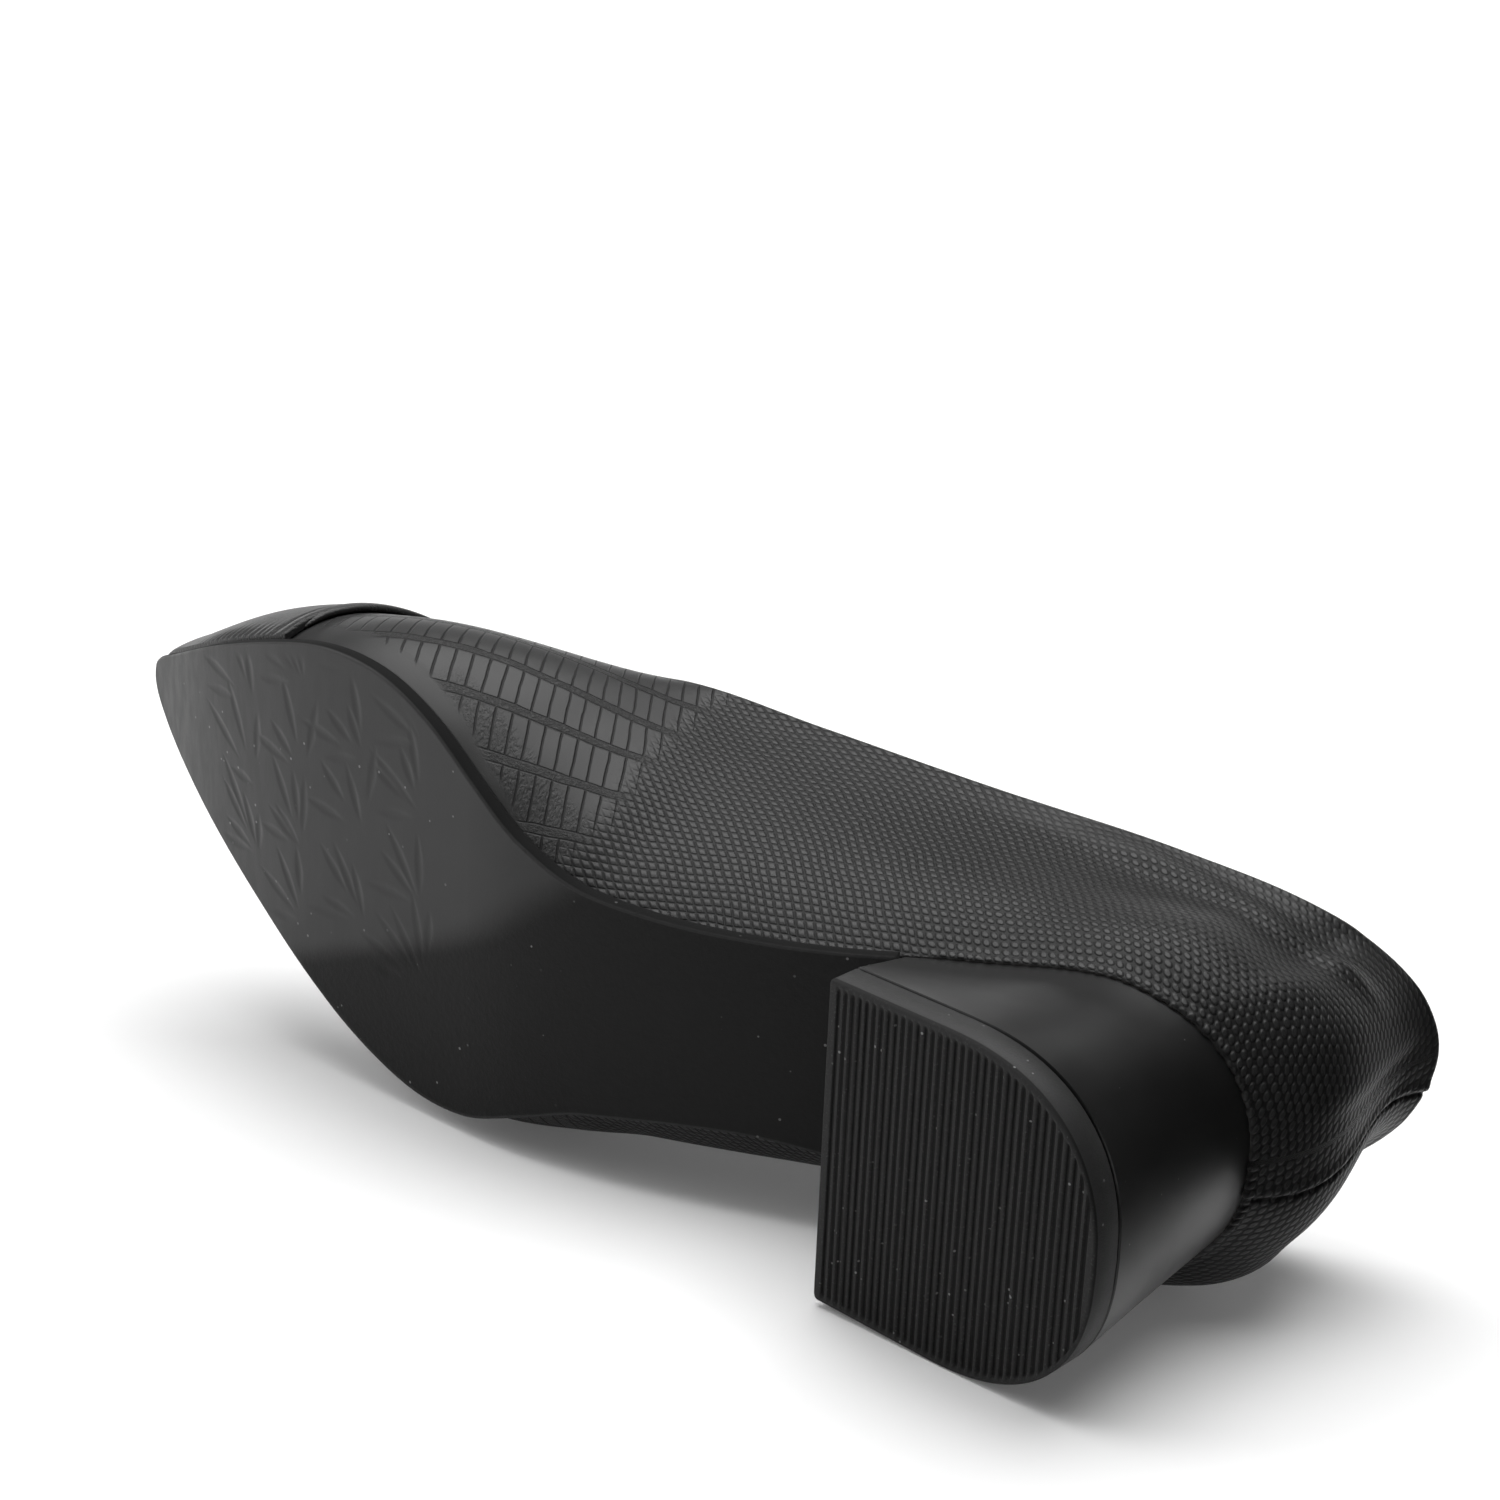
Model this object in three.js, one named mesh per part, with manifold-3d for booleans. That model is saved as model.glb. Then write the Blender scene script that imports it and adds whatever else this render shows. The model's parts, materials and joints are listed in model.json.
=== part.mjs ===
// Cap-toe court shoe with a block heel: the right shoe of a pair, lying on its outer side.
// It is modelled standing, in millimetres: x runs from the back of the seat to the toe, y to the wearer's
// left, which is the inner side of this shoe, and z up from the floor. At the end the whole shoe is turned
// onto its outer side.
import * as THREE from 'three';
import { ConvexHull } from 'three/addons/math/ConvexHull.js';
import { mergeVertices } from 'three/addons/utils/BufferGeometryUtils.js';
import Module from 'manifold-3d';

const wasm = await Module();
wasm.setup();

// Driving sizes
const SOLE_LENGTH = 241;
const BALL_WIDTH = 80;
const HEEL_HEIGHT = 48.5;
const TOE_SPRING = 8.6;
const SOLE_THICKNESS = 3;
const COLLAR_HEIGHT = 105;
const UPPER_WALL = 1.8;
const UPPER_INSET = 1;
const CAP_THICKNESS = 1.3;
const CAP_LENGTH = 50;
const INSOLE_THICKNESS = 1.6;
const LIFT_WIDTH = 57.8;
const LIFT_DEPTH = 54;
const LIFT_THICKNESS = 6;
const LIFT_ROUND_DEPTH = 31;
const LIFT_OVERHANG = 4;
const LIFT_ROUND_POWER = 2.4;
const BREAST_LEAN = 10;
const CLEARANCE = 0.3;

// Weights in grams for each cubic centimetre, for the way the shoe comes to rest on its side
const LEATHER_DENSITY = 0.95;
const SOLE_DENSITY = 1.15;
const INSOLE_DENSITY = 0.5;
const HEEL_DENSITY = 0.75;

// How finely the curved pieces are divided
const SPOKES = 72;
const UPPER_STEPS = 14;
const SOLE_STEPS = 8;
const HEEL_OUTLINE_STEPS = 40;
const HEEL_LEVELS = 6;

// Edge of the sole seen from above, once round from the toe along the inner side to the back and home along
// the outer side. way is the share of the walk round, along a share of the sole length, across of the ball
// width.
const SOLE_EDGE = [
  { way: 0, along: 1.0, across: 0.309 },
  { way: 0.008, along: 0.9935, across: 0.358 },
  { way: 0.024, along: 0.962, across: 0.402 },
  { way: 0.067, along: 0.871, across: 0.511 },
  { way: 0.115, along: 0.767, across: 0.606 },
  { way: 0.14, along: 0.711, across: 0.63 },
  { way: 0.165, along: 0.656, across: 0.6125 },
  { way: 0.189, along: 0.606, across: 0.55 },
  { way: 0.2144, along: 0.559, across: 0.4525 },
  { way: 0.2415, along: 0.51, across: 0.3475 },
  { way: 0.269, along: 0.4535, across: 0.274 },
  { way: 0.324, along: 0.33, across: 0.241 },
  { way: 0.378, along: 0.2075, across: 0.272 },
  { way: 0.4225, along: 0.11, across: 0.318 },
  { way: 0.4465, along: 0.057, across: 0.277 },
  { way: 0.465, along: 0.0225, across: 0.1925 },
  { way: 0.4827, along: 0.0045, across: 0.085 },
  { way: 0.5, along: 0, across: -0.031 },
  { way: 0.5175, along: 0.0054, across: -0.15 },
  { way: 0.535, along: 0.0257, across: -0.256 },
  { way: 0.553, along: 0.06, across: -0.331 },
  { way: 0.578, along: 0.116, across: -0.356 },
  { way: 0.619, along: 0.2075, across: -0.281 },
  { way: 0.6715, along: 0.327, across: -0.225 },
  { way: 0.7265, along: 0.452, across: -0.261 },
  { way: 0.7535, along: 0.511, across: -0.3225 },
  { way: 0.7785, along: 0.565, across: -0.38 },
  { way: 0.802, along: 0.619, across: -0.3875 },
  { way: 0.826, along: 0.672, across: -0.349 },
  { way: 0.8515, along: 0.726, across: -0.2775 },
  { way: 0.9035, along: 0.828, across: -0.095 },
  { way: 0.9505, along: 0.92, across: 0.0775 },
  { way: 0.9755, along: 0.967, across: 0.175 },
  { way: 0.992, along: 0.9935, across: 0.256 },
  { way: 1, along: 1.0, across: 0.309 },
];

// Underside of the sole seen from the side, and of the heel's seat behind it, less the sole's thickness. heel is
// a share of the heel height, toe of the toe spring.
const SOLE_PROFILE = [
  { along: 0, heel: 0.94, toe: 0 },
  { along: 0.057, heel: 0.855, toe: 0 },
  { along: 0.11, heel: 0.78, toe: 0 },
  { along: 0.2075, heel: 0.65, toe: 0 },
  { along: 0.27, heel: 0.497, toe: 0 },
  { along: 0.33, heel: 0.35, toe: 0 },
  { along: 0.39, heel: 0.206, toe: 0 },
  { along: 0.452, heel: 0.089, toe: 0 },
  { along: 0.51, heel: 0.019, toe: 0 },
  { along: 0.56, heel: 0, toe: 0 },
  { along: 0.72, heel: 0, toe: 0 },
  { along: 0.8, heel: 0, toe: 0.08 },
  { along: 0.9, heel: 0, toe: 0.4 },
  { along: 1, heel: 0, toe: 1 },
];

// Topline, walked round as the sole's edge is: from the middle of the throat along the inner side to the back
// seam and home along the outer side. height is a share of the collar height.
const TOPLINE = [
  { way: 0, along: 0.72, across: 0.16, height: 0.555 },
  { way: 0.06, along: 0.706, across: 0.31, height: 0.545 },
  { way: 0.12, along: 0.662, across: 0.43, height: 0.515 },
  { way: 0.18, along: 0.585, across: 0.495, height: 0.555 },
  { way: 0.25, along: 0.475, across: 0.44, height: 0.65 },
  { way: 0.32, along: 0.34, across: 0.387, height: 0.738 },
  { way: 0.39, along: 0.175, across: 0.358, height: 0.802 },
  { way: 0.44, along: 0.07, across: 0.29, height: 0.873 },
  { way: 0.475, along: 0.017, across: 0.14, height: 0.965 },
  { way: 0.5, along: 0.001, across: -0.03, height: 1 },
  { way: 0.525, along: 0.015, across: -0.2, height: 0.955 },
  { way: 0.56, along: 0.07, across: -0.335, height: 0.868 },
  { way: 0.61, along: 0.175, across: -0.385, height: 0.785 },
  { way: 0.68, along: 0.34, across: -0.4, height: 0.705 },
  { way: 0.75, along: 0.475, across: -0.39, height: 0.61 },
  { way: 0.82, along: 0.585, across: -0.29, height: 0.53 },
  { way: 0.88, along: 0.662, across: -0.13, height: 0.51 },
  { way: 0.94, along: 0.706, across: 0.01, height: 0.54 },
  { way: 1, along: 0.72, across: 0.16, height: 0.555 },
];

// How each spoke of the upper leaves the sole and reaches the topline. out and rise are shares of the ball
// width, for the lower handle; back_out is how far the upper handle stands off the topline, and back_drop
// how far it hangs below it.
const SPOKE_SHAPE = [
  { way: 0, out: 0.08, rise: 0.29, back_out: 0.4, back_drop: 0.02 },
  { way: 0.06, out: 0.14, rise: 0.3, back_out: 0.27, back_drop: 0.03 },
  { way: 0.12, out: 0.12, rise: 0.26, back_out: 0.12, back_drop: 0.08 },
  { way: 0.18, out: 0.12, rise: 0.23, back_out: 0.08, back_drop: 0.16 },
  { way: 0.25, out: 0.17, rise: 0.24, back_out: 0.05, back_drop: 0.22 },
  { way: 0.32, out: 0.17, rise: 0.24, back_out: 0.055, back_drop: 0.24 },
  { way: 0.39, out: 0.16, rise: 0.24, back_out: 0.06, back_drop: 0.24 },
  { way: 0.44, out: 0.15, rise: 0.24, back_out: 0.07, back_drop: 0.24 },
  { way: 0.5, out: 0.17, rise: 0.25, back_out: 0.08, back_drop: 0.24 },
  { way: 0.53, out: 0.22, rise: 0.25, back_out: 0.08, back_drop: 0.24 },
  { way: 0.56, out: 0.26, rise: 0.25, back_out: 0.08, back_drop: 0.24 },
  { way: 0.61, out: 0.29, rise: 0.25, back_out: 0.08, back_drop: 0.24 },
  { way: 0.68, out: 0.34, rise: 0.25, back_out: 0.06, back_drop: 0.24 },
  { way: 0.75, out: 0.27, rise: 0.25, back_out: 0.06, back_drop: 0.2 },
  { way: 0.82, out: 0.13, rise: 0.23, back_out: 0.07, back_drop: 0.14 },
  { way: 0.88, out: 0.1, rise: 0.27, back_out: 0.14, back_drop: 0.08 },
  { way: 0.94, out: 0.09, rise: 0.29, back_out: 0.28, back_drop: 0.03 },
  { way: 1, out: 0.08, rise: 0.29, back_out: 0.4, back_drop: 0.02 },
];

// Reads one column of a table at a place between its rows, on a smooth curve through them
function slopeAt(rows, key, column, row, closed) {
  const last = rows.length - 1;
  let before = row - 1;
  let after = row + 1;
  let span = 0;
  if (closed && (row === 0 || row === last)) {
    before = last - 1;
    after = 1;
    span = rows[last][key] - rows[0][key];
  }
  before = Math.max(before, 0);
  after = Math.min(after, last);
  return (rows[after][column] - rows[before][column]) / (rows[after][key] - rows[before][key] + span);
}

function readTable(rows, key, column, place, closed) {
  let row = 0;
  while (row < rows.length - 2 && rows[row + 1][key] <= place) {
    row += 1;
  }
  const start = rows[row];
  const end = rows[row + 1];
  const width = end[key] - start[key];
  const t = (place - start[key]) / width;
  const flat = start[column] === end[column];
  const leave = flat ? 0 : slopeAt(rows, key, column, row, closed) * width;
  const arrive = flat ? 0 : slopeAt(rows, key, column, row + 1, closed) * width;
  const t2 = t * t;
  const t3 = t2 * t;
  const atStart = start[column] * (2 * t3 - 3 * t2 + 1) + leave * (t3 - 2 * t2 + t);
  const atEnd = end[column] * (3 * t2 - 2 * t3) + arrive * (t3 - t2);
  return atStart + atEnd;
}

function soleHeight(x) {
  const place = THREE.MathUtils.clamp(x / SOLE_LENGTH, 0, 1);
  const heel = readTable(SOLE_PROFILE, 'along', 'heel', place, false) * HEEL_HEIGHT;
  const toe = readTable(SOLE_PROFILE, 'along', 'toe', place, false) * TOE_SPRING;
  return Math.max(heel, 0) + Math.max(toe, 0);
}

function soleEdge(way) {
  const x = readTable(SOLE_EDGE, 'way', 'along', way, true) * SOLE_LENGTH;
  const y = readTable(SOLE_EDGE, 'way', 'across', way, true) * BALL_WIDTH;
  return new THREE.Vector2(x, y);
}

// Direction out of the sole's edge, square to it
function edgeOut(way) {
  const step = 1 / (4 * SPOKES);
  const ahead = soleEdge((way + step) % 1);
  const behind = soleEdge((way - step + 1) % 1);
  const run = ahead.sub(behind).normalize();
  return new THREE.Vector2(run.y, -run.x);
}

function insetEdge(way, inset) {
  return soleEdge(way).addScaledVector(edgeOut(way), -inset);
}

// Where the upper stands on the sole
function seatHeight(x) {
  return soleHeight(x) + SOLE_THICKNESS + CLEARANCE;
}

// Point of the upper's outer face: spoke at way round the shoe, reach from the sole (0) to the topline (1)
function upperPoint(way, reach) {
  const foot = insetEdge(way, UPPER_INSET);
  const out = edgeOut(way);
  const shape = (column) => readTable(SPOKE_SHAPE, 'way', column, way, true) * BALL_WIDTH;
  const top = new THREE.Vector3(
    readTable(TOPLINE, 'way', 'along', way, true) * SOLE_LENGTH,
    readTable(TOPLINE, 'way', 'across', way, true) * BALL_WIDTH,
    readTable(TOPLINE, 'way', 'height', way, true) * COLLAR_HEIGHT,
  );
  const bottom = new THREE.Vector3(foot.x, foot.y, seatHeight(foot.x));
  const lower = bottom.clone().add(new THREE.Vector3(out.x * shape('out'), out.y * shape('out'), shape('rise')));
  const toFoot = new THREE.Vector2(foot.x - top.x, foot.y - top.y).normalize();
  const upper = top.clone();
  upper.x += toFoot.x * shape('back_out');
  upper.y += toFoot.y * shape('back_out');
  upper.z -= shape('back_drop');
  return new THREE.CubicBezierCurve3(bottom, lower, upper, top).getPoint(reach);
}

function upperNormal(way, reach) {
  const stepWay = 1 / (6 * SPOKES);
  const stepReach = 1 / (6 * UPPER_STEPS);
  const ahead = upperPoint((way + stepWay) % 1, reach);
  const behind = upperPoint((way - stepWay + 1) % 1, reach);
  const above = upperPoint(way, Math.min(reach + stepReach, 1));
  const below = upperPoint(way, Math.max(reach - stepReach, 0));
  return ahead.sub(behind).cross(above.sub(below)).normalize();
}

// Point at a depth under the upper's outer face, or above it where the depth is negative. The lowest row
// stands flat on the sole.
function upperLayer(way, reach, depth) {
  const spot = upperPoint(way, reach).addScaledVector(upperNormal(way, reach), -depth);
  const floor = seatHeight(spot.x);
  spot.z = reach === 0 ? floor : Math.max(spot.z, floor);
  return spot;
}

// Closed mesh from corner points and faces of three or four corners, with points that coincide joined
function solidFrom(points, faces) {
  const corners = [];
  for (const face of faces) {
    for (let turn = 1; turn < face.length - 1; turn += 1) {
      corners.push(points[face[0]], points[face[turn]], points[face[turn + 1]]);
    }
  }
  const flat = new THREE.BufferGeometry().setFromPoints(corners);
  const joined = mergeVertices(flat, 1e-3);
  const index = joined.index.array;
  const kept = [];
  for (let i = 0; i < index.length; i += 3) {
    const [a, b, c] = [index[i], index[i + 1], index[i + 2]];
    if (a !== b && b !== c && c !== a) {
      kept.push(a, b, c);
    }
  }
  joined.setIndex(kept);
  return joined;
}

function toManifold(geometry) {
  const vertProperties = new Float32Array(geometry.attributes.position.array);
  const triVerts = new Uint32Array(geometry.index.array);
  return new wasm.Manifold(new wasm.Mesh({ numProp: 3, vertProperties, triVerts }));
}

function fromManifold(solid) {
  const mesh = solid.getMesh();
  const geometry = new THREE.BufferGeometry();
  const stride = mesh.numProp;
  const positions = [];
  for (let i = 0; i < mesh.vertProperties.length; i += stride) {
    positions.push(mesh.vertProperties[i], mesh.vertProperties[i + 1], mesh.vertProperties[i + 2]);
  }
  geometry.setAttribute('position', new THREE.Float32BufferAttribute(positions, 3));
  geometry.setIndex(Array.from(mesh.triVerts));
  return geometry;
}

// Shell between two faces that run round the whole shoe, joined at the sole and at the topline
function ringShell(outerPoint, innerPoint, around, steps) {
  const points = [];
  const rows = steps + 1;
  for (const face of [outerPoint, innerPoint]) {
    for (let i = 0; i < around; i += 1) {
      for (let j = 0; j < rows; j += 1) {
        points.push(face(i / around, j / steps));
      }
    }
  }
  const at = (face, i, j) => face * around * rows + (i % around) * rows + j;
  const faces = [];
  for (let i = 0; i < around; i += 1) {
    for (let j = 0; j < steps; j += 1) {
      faces.push([at(0, i, j), at(0, i + 1, j), at(0, i + 1, j + 1), at(0, i, j + 1)]);
      faces.push([at(1, i, j), at(1, i, j + 1), at(1, i + 1, j + 1), at(1, i + 1, j)]);
    }
    faces.push([at(0, i, 0), at(1, i, 0), at(1, i + 1, 0), at(0, i + 1, 0)]);
    faces.push([at(0, i, steps), at(0, i + 1, steps), at(1, i + 1, steps), at(1, i, steps)]);
  }
  return solidFrom(points, faces);
}

const breastX = LIFT_DEPTH - LIFT_OVERHANG;
const breastFoot = LIFT_THICKNESS + CLEARANCE;
const breastTop = soleHeight(breastX + BREAST_LEAN) + SOLE_THICKNESS;

// How far forward the leaning breast of the heel stands at a height
function breastAt(height) {
  return breastX + BREAST_LEAN * (height - breastFoot) / (breastTop - breastFoot);
}

// Share of the way round at which the sole's edge, set in, passes a place along the shoe on one side
function wayAt(place, inset, from, to) {
  let low = from;
  let high = to;
  const falling = soleEdge(from).x > soleEdge(to).x;
  for (let turn = 0; turn < 40; turn += 1) {
    const middle = (low + high) / 2;
    const ahead = insetEdge(middle, inset).x > place;
    if (ahead === falling) {
      low = middle;
    } else {
      high = middle;
    }
  }
  return (low + high) / 2;
}

// Plate inside the sole's edge, from its toe backwards, between two faces. A face has its height as a
// function of x, and the ways round at which the plate ends on the inner and on the outer side.
function plate(inset, bottomFace, topFace) {
  const points = [];
  const half = SPOKES / 2;
  const columns = SOLE_STEPS + 1;
  for (const { height, innerEnd, outerEnd } of [bottomFace, topFace]) {
    for (let i = 0; i <= half; i += 1) {
      const share = i / half;
      const inner = insetEdge(share * innerEnd, inset);
      const outer = insetEdge(1 - share * (1 - outerEnd), inset);
      for (let j = 0; j < columns; j += 1) {
        const spot = inner.clone().lerp(outer, j / SOLE_STEPS);
        points.push(new THREE.Vector3(spot.x, spot.y, height(spot.x)));
      }
    }
  }
  const at = (face, i, j) => face * (half + 1) * columns + i * columns + j;
  const faces = [];
  for (let i = 0; i < half; i += 1) {
    for (let j = 0; j < SOLE_STEPS; j += 1) {
      faces.push([at(0, i, j), at(0, i, j + 1), at(0, i + 1, j + 1), at(0, i + 1, j)]);
      faces.push([at(1, i, j), at(1, i + 1, j), at(1, i + 1, j + 1), at(1, i, j + 1)]);
    }
    faces.push([at(0, i, 0), at(0, i + 1, 0), at(1, i + 1, 0), at(1, i, 0)]);
    faces.push([at(0, i, SOLE_STEPS), at(1, i, SOLE_STEPS), at(1, i + 1, SOLE_STEPS), at(0, i + 1, SOLE_STEPS)]);
  }
  for (let j = 0; j < SOLE_STEPS; j += 1) {
    faces.push([at(0, half, j), at(0, half, j + 1), at(1, half, j + 1), at(1, half, j)]);
  }
  return solidFrom(points, faces);
}

// The sole butts against the leaning breast of the heel
function outsole() {
  const face = (thickness) => {
    const height = (x) => soleHeight(x) + thickness;
    const end = breastAt(height(breastX + BREAST_LEAN)) + CLEARANCE;
    return { height, innerEnd: wayAt(end, 0, 0.25, 0.5), outerEnd: wayAt(end, 0, 0.75, 0.5) };
  };
  return plate(0, face(0), face(SOLE_THICKNESS));
}

function insole() {
  const face = (thickness) => ({
    height: (x) => seatHeight(x) + thickness,
    innerEnd: 0.5,
    outerEnd: 0.5,
  });
  return plate(UPPER_INSET + UPPER_WALL + CLEARANCE, face(0), face(INSOLE_THICKNESS));
}

function upper() {
  const outer = (way, reach) => upperLayer(way, reach, 0);
  const inner = (way, reach) => upperLayer(way, reach, UPPER_WALL);
  return ringShell(outer, inner, SPOKES, UPPER_STEPS);
}

// Outline of the heel's foot from the inner breast corner round the back to the outer one
function liftOutline(share) {
  const straight = LIFT_DEPTH - LIFT_ROUND_DEPTH;
  const halfWidth = LIFT_WIDTH / 2;
  const roundLength = Math.PI * (halfWidth + LIFT_ROUND_DEPTH) / 2;
  const whole = 2 * straight + roundLength;
  const walked = share * whole;
  if (walked <= straight) {
    return new THREE.Vector2(breastX - walked, halfWidth);
  }
  if (walked >= whole - straight) {
    return new THREE.Vector2(breastX - (whole - walked), -halfWidth);
  }
  const angle = Math.PI * (walked - straight) / roundLength;
  const power = 2 / LIFT_ROUND_POWER;
  const back = Math.pow(Math.sin(angle), power) * LIFT_ROUND_DEPTH;
  const side = Math.sign(Math.cos(angle)) * Math.pow(Math.abs(Math.cos(angle)), power) * halfWidth;
  return new THREE.Vector2(breastX - straight - back, side);
}

// Block between two outlines of the same walk, flat across the breast
function block(bottomPoint, topPoint, levels) {
  const points = [];
  const around = HEEL_OUTLINE_STEPS;
  const ring = around + 1;
  for (let level = 0; level <= levels; level += 1) {
    for (let i = 0; i <= around; i += 1) {
      const low = bottomPoint(i / around);
      points.push(low.lerp(topPoint(i / around), level / levels));
    }
  }
  const at = (level, i) => level * ring + i;
  const faces = [];
  for (let level = 0; level < levels; level += 1) {
    for (let i = 0; i < around; i += 1) {
      faces.push([at(level, i), at(level, i + 1), at(level + 1, i + 1), at(level + 1, i)]);
    }
    faces.push([at(level, around), at(level, 0), at(level + 1, 0), at(level + 1, around)]);
  }
  const half = around / 2;
  for (let i = 0; i < half; i += 1) {
    const across = around - i;
    faces.push([at(0, i), at(0, across), at(0, across - 1), at(0, i + 1)]);
    faces.push([at(levels, i), at(levels, i + 1), at(levels, across - 1), at(levels, across)]);
  }
  return solidFrom(points, faces);
}

function topPiece() {
  const flat = (height) => (share) => {
    const spot = liftOutline(share);
    return new THREE.Vector3(spot.x, spot.y, height);
  };
  return block(flat(0), flat(LIFT_THICKNESS), 1);
}

// The heel rises past the end of the sole and carries the upper's seat
function heel() {
  const innerWay = wayAt(breastX + BREAST_LEAN, UPPER_INSET, 0.25, 0.5);
  const outerWay = wayAt(breastX + BREAST_LEAN, UPPER_INSET, 0.75, 0.5);
  const foot = (share) => {
    const spot = liftOutline(share);
    return new THREE.Vector3(spot.x, spot.y, breastFoot);
  };
  const seat = (share) => {
    const spot = insetEdge(innerWay + share * (outerWay - innerWay), UPPER_INSET);
    return new THREE.Vector3(spot.x, spot.y, soleHeight(spot.x) + SOLE_THICKNESS);
  };
  return block(foot, seat, HEEL_LEVELS);
}

// Cap: the front of a second skin over the vamp, cut square across the shoe behind the toe
function toeCap() {
  const outer = (way, reach) => upperLayer(way, reach, -CLEARANCE - CAP_THICKNESS);
  const inner = (way, reach) => upperLayer(way, reach, -CLEARANCE);
  const skin = toManifold(ringShell(outer, inner, SPOKES, UPPER_STEPS));
  const behind = new THREE.BoxGeometry(2 * SOLE_LENGTH, 2 * SOLE_LENGTH, 2 * SOLE_LENGTH);
  behind.deleteAttribute('normal');
  behind.deleteAttribute('uv');
  behind.translate(-CAP_LENGTH, 0, 0);
  return fromManifold(skin.subtract(toManifold(mergeVertices(behind, 1e-3))));
}

const pieces = [
  { name: 'upper', geometry: upper(), density: LEATHER_DENSITY, color: 0x17171a, roughness: 0.45 },
  { name: 'toe_cap', geometry: toeCap(), density: LEATHER_DENSITY, color: 0x1b1b1e, roughness: 0.4 },
  { name: 'outsole', geometry: outsole(), density: SOLE_DENSITY, color: 0x26262a, roughness: 0.5 },
  { name: 'insole', geometry: insole(), density: INSOLE_DENSITY, color: 0x38332f, roughness: 0.8 },
  { name: 'heel', geometry: heel(), density: HEEL_DENSITY, color: 0x1d1d20, roughness: 0.35 },
  { name: 'top_piece', geometry: topPiece(), density: SOLE_DENSITY, color: 0x222225, roughness: 0.7 },
];

// Middle of the whole shoe's weight, from the tetrahedra under each triangle
function centreOfWeight() {
  const sum = new THREE.Vector3();
  let weight = 0;
  for (const piece of pieces) {
    const spots = piece.geometry.attributes.position;
    const index = piece.geometry.index;
    for (let i = 0; i < index.count; i += 3) {
      const a = new THREE.Vector3().fromBufferAttribute(spots, index.getX(i));
      const b = new THREE.Vector3().fromBufferAttribute(spots, index.getX(i + 1));
      const c = new THREE.Vector3().fromBufferAttribute(spots, index.getX(i + 2));
      const share = piece.density * a.dot(b.clone().cross(c)) / 6;
      weight += share;
      sum.addScaledVector(a.add(b).add(c), share / 4);
    }
  }
  return sum.divideScalar(weight);
}

// Face of the shoe's hull that it rests on when it lies on its outer side: of the faces that the weight
// stays over, the one that looks most squarely to that side
function restingDirection() {
  const spots = [];
  for (const piece of pieces) {
    const position = piece.geometry.attributes.position;
    for (let i = 0; i < position.count; i += 1) {
      spots.push(new THREE.Vector3().fromBufferAttribute(position, i));
    }
  }
  const centre = centreOfWeight();
  const outerSide = new THREE.Vector3(0, -1, 0);
  const hull = new ConvexHull().setFromPoints(spots);
  let best = null;
  for (const face of hull.faces) {
    const corners = [];
    let edge = face.edge;
    do {
      corners.push(edge.head().point);
      edge = edge.next;
    } while (edge !== face.edge);
    const foot = centre.clone().addScaledVector(face.normal, face.constant - centre.dot(face.normal));
    let inside = true;
    for (let i = 0; i < corners.length; i += 1) {
      const from = corners[i];
      const side = corners[(i + 1) % corners.length].clone().sub(from);
      inside = inside && side.cross(foot.clone().sub(from)).dot(face.normal) > 0;
    }
    const square = face.normal.dot(outerSide);
    if (inside && (best === null || square > best.dot(outerSide))) {
      best = face.normal.clone();
    }
  }
  return best;
}

// The shoe standing, then turned so that the resting face looks down, the toe points to -x and the sole to -y
const shoe = new THREE.Group();
for (const piece of pieces) {
  const material = new THREE.MeshStandardMaterial({
    color: piece.color,
    roughness: piece.roughness,
    metalness: 0,
  });
  const mesh = new THREE.Mesh(piece.geometry, material);
  mesh.name = piece.name;
  shoe.add(mesh);
}
const up = restingDirection().negate();
const heelward = new THREE.Vector3(-1, 0, 0).addScaledVector(up, up.x).normalize();
const away = new THREE.Vector3().crossVectors(up, heelward);
shoe.quaternion.setFromRotationMatrix(new THREE.Matrix4().makeBasis(heelward, away, up).transpose());

// Origin under the middle of the lying shoe, on the floor
const group = new THREE.Group();
group.add(shoe);
group.updateMatrixWorld(true);
const bounds = new THREE.Box3().setFromObject(shoe, true);
const middle = bounds.getCenter(new THREE.Vector3());
shoe.position.set(-middle.x, -middle.y, -bounds.min.z);

export default group;
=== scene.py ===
# %% [markdown]
# # A court shoe lying on its side, dressed step by step
# The imported model gives the true solids of the shoe: upper, toe cap, outsole, insole, heel and top piece.
# This lesson keeps their places and sizes and makes finer pieces over them. The solids are faceted, as a
# machine model is, and a photograph of leather shows every facet, so each piece is made again from the
# same sections, only with more of them. The first cell loads the fixed frame.

# %% Load the imported model
import json
import math

import bmesh
import bpy
import numpy as np
from mathutils import Matrix, Vector


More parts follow.
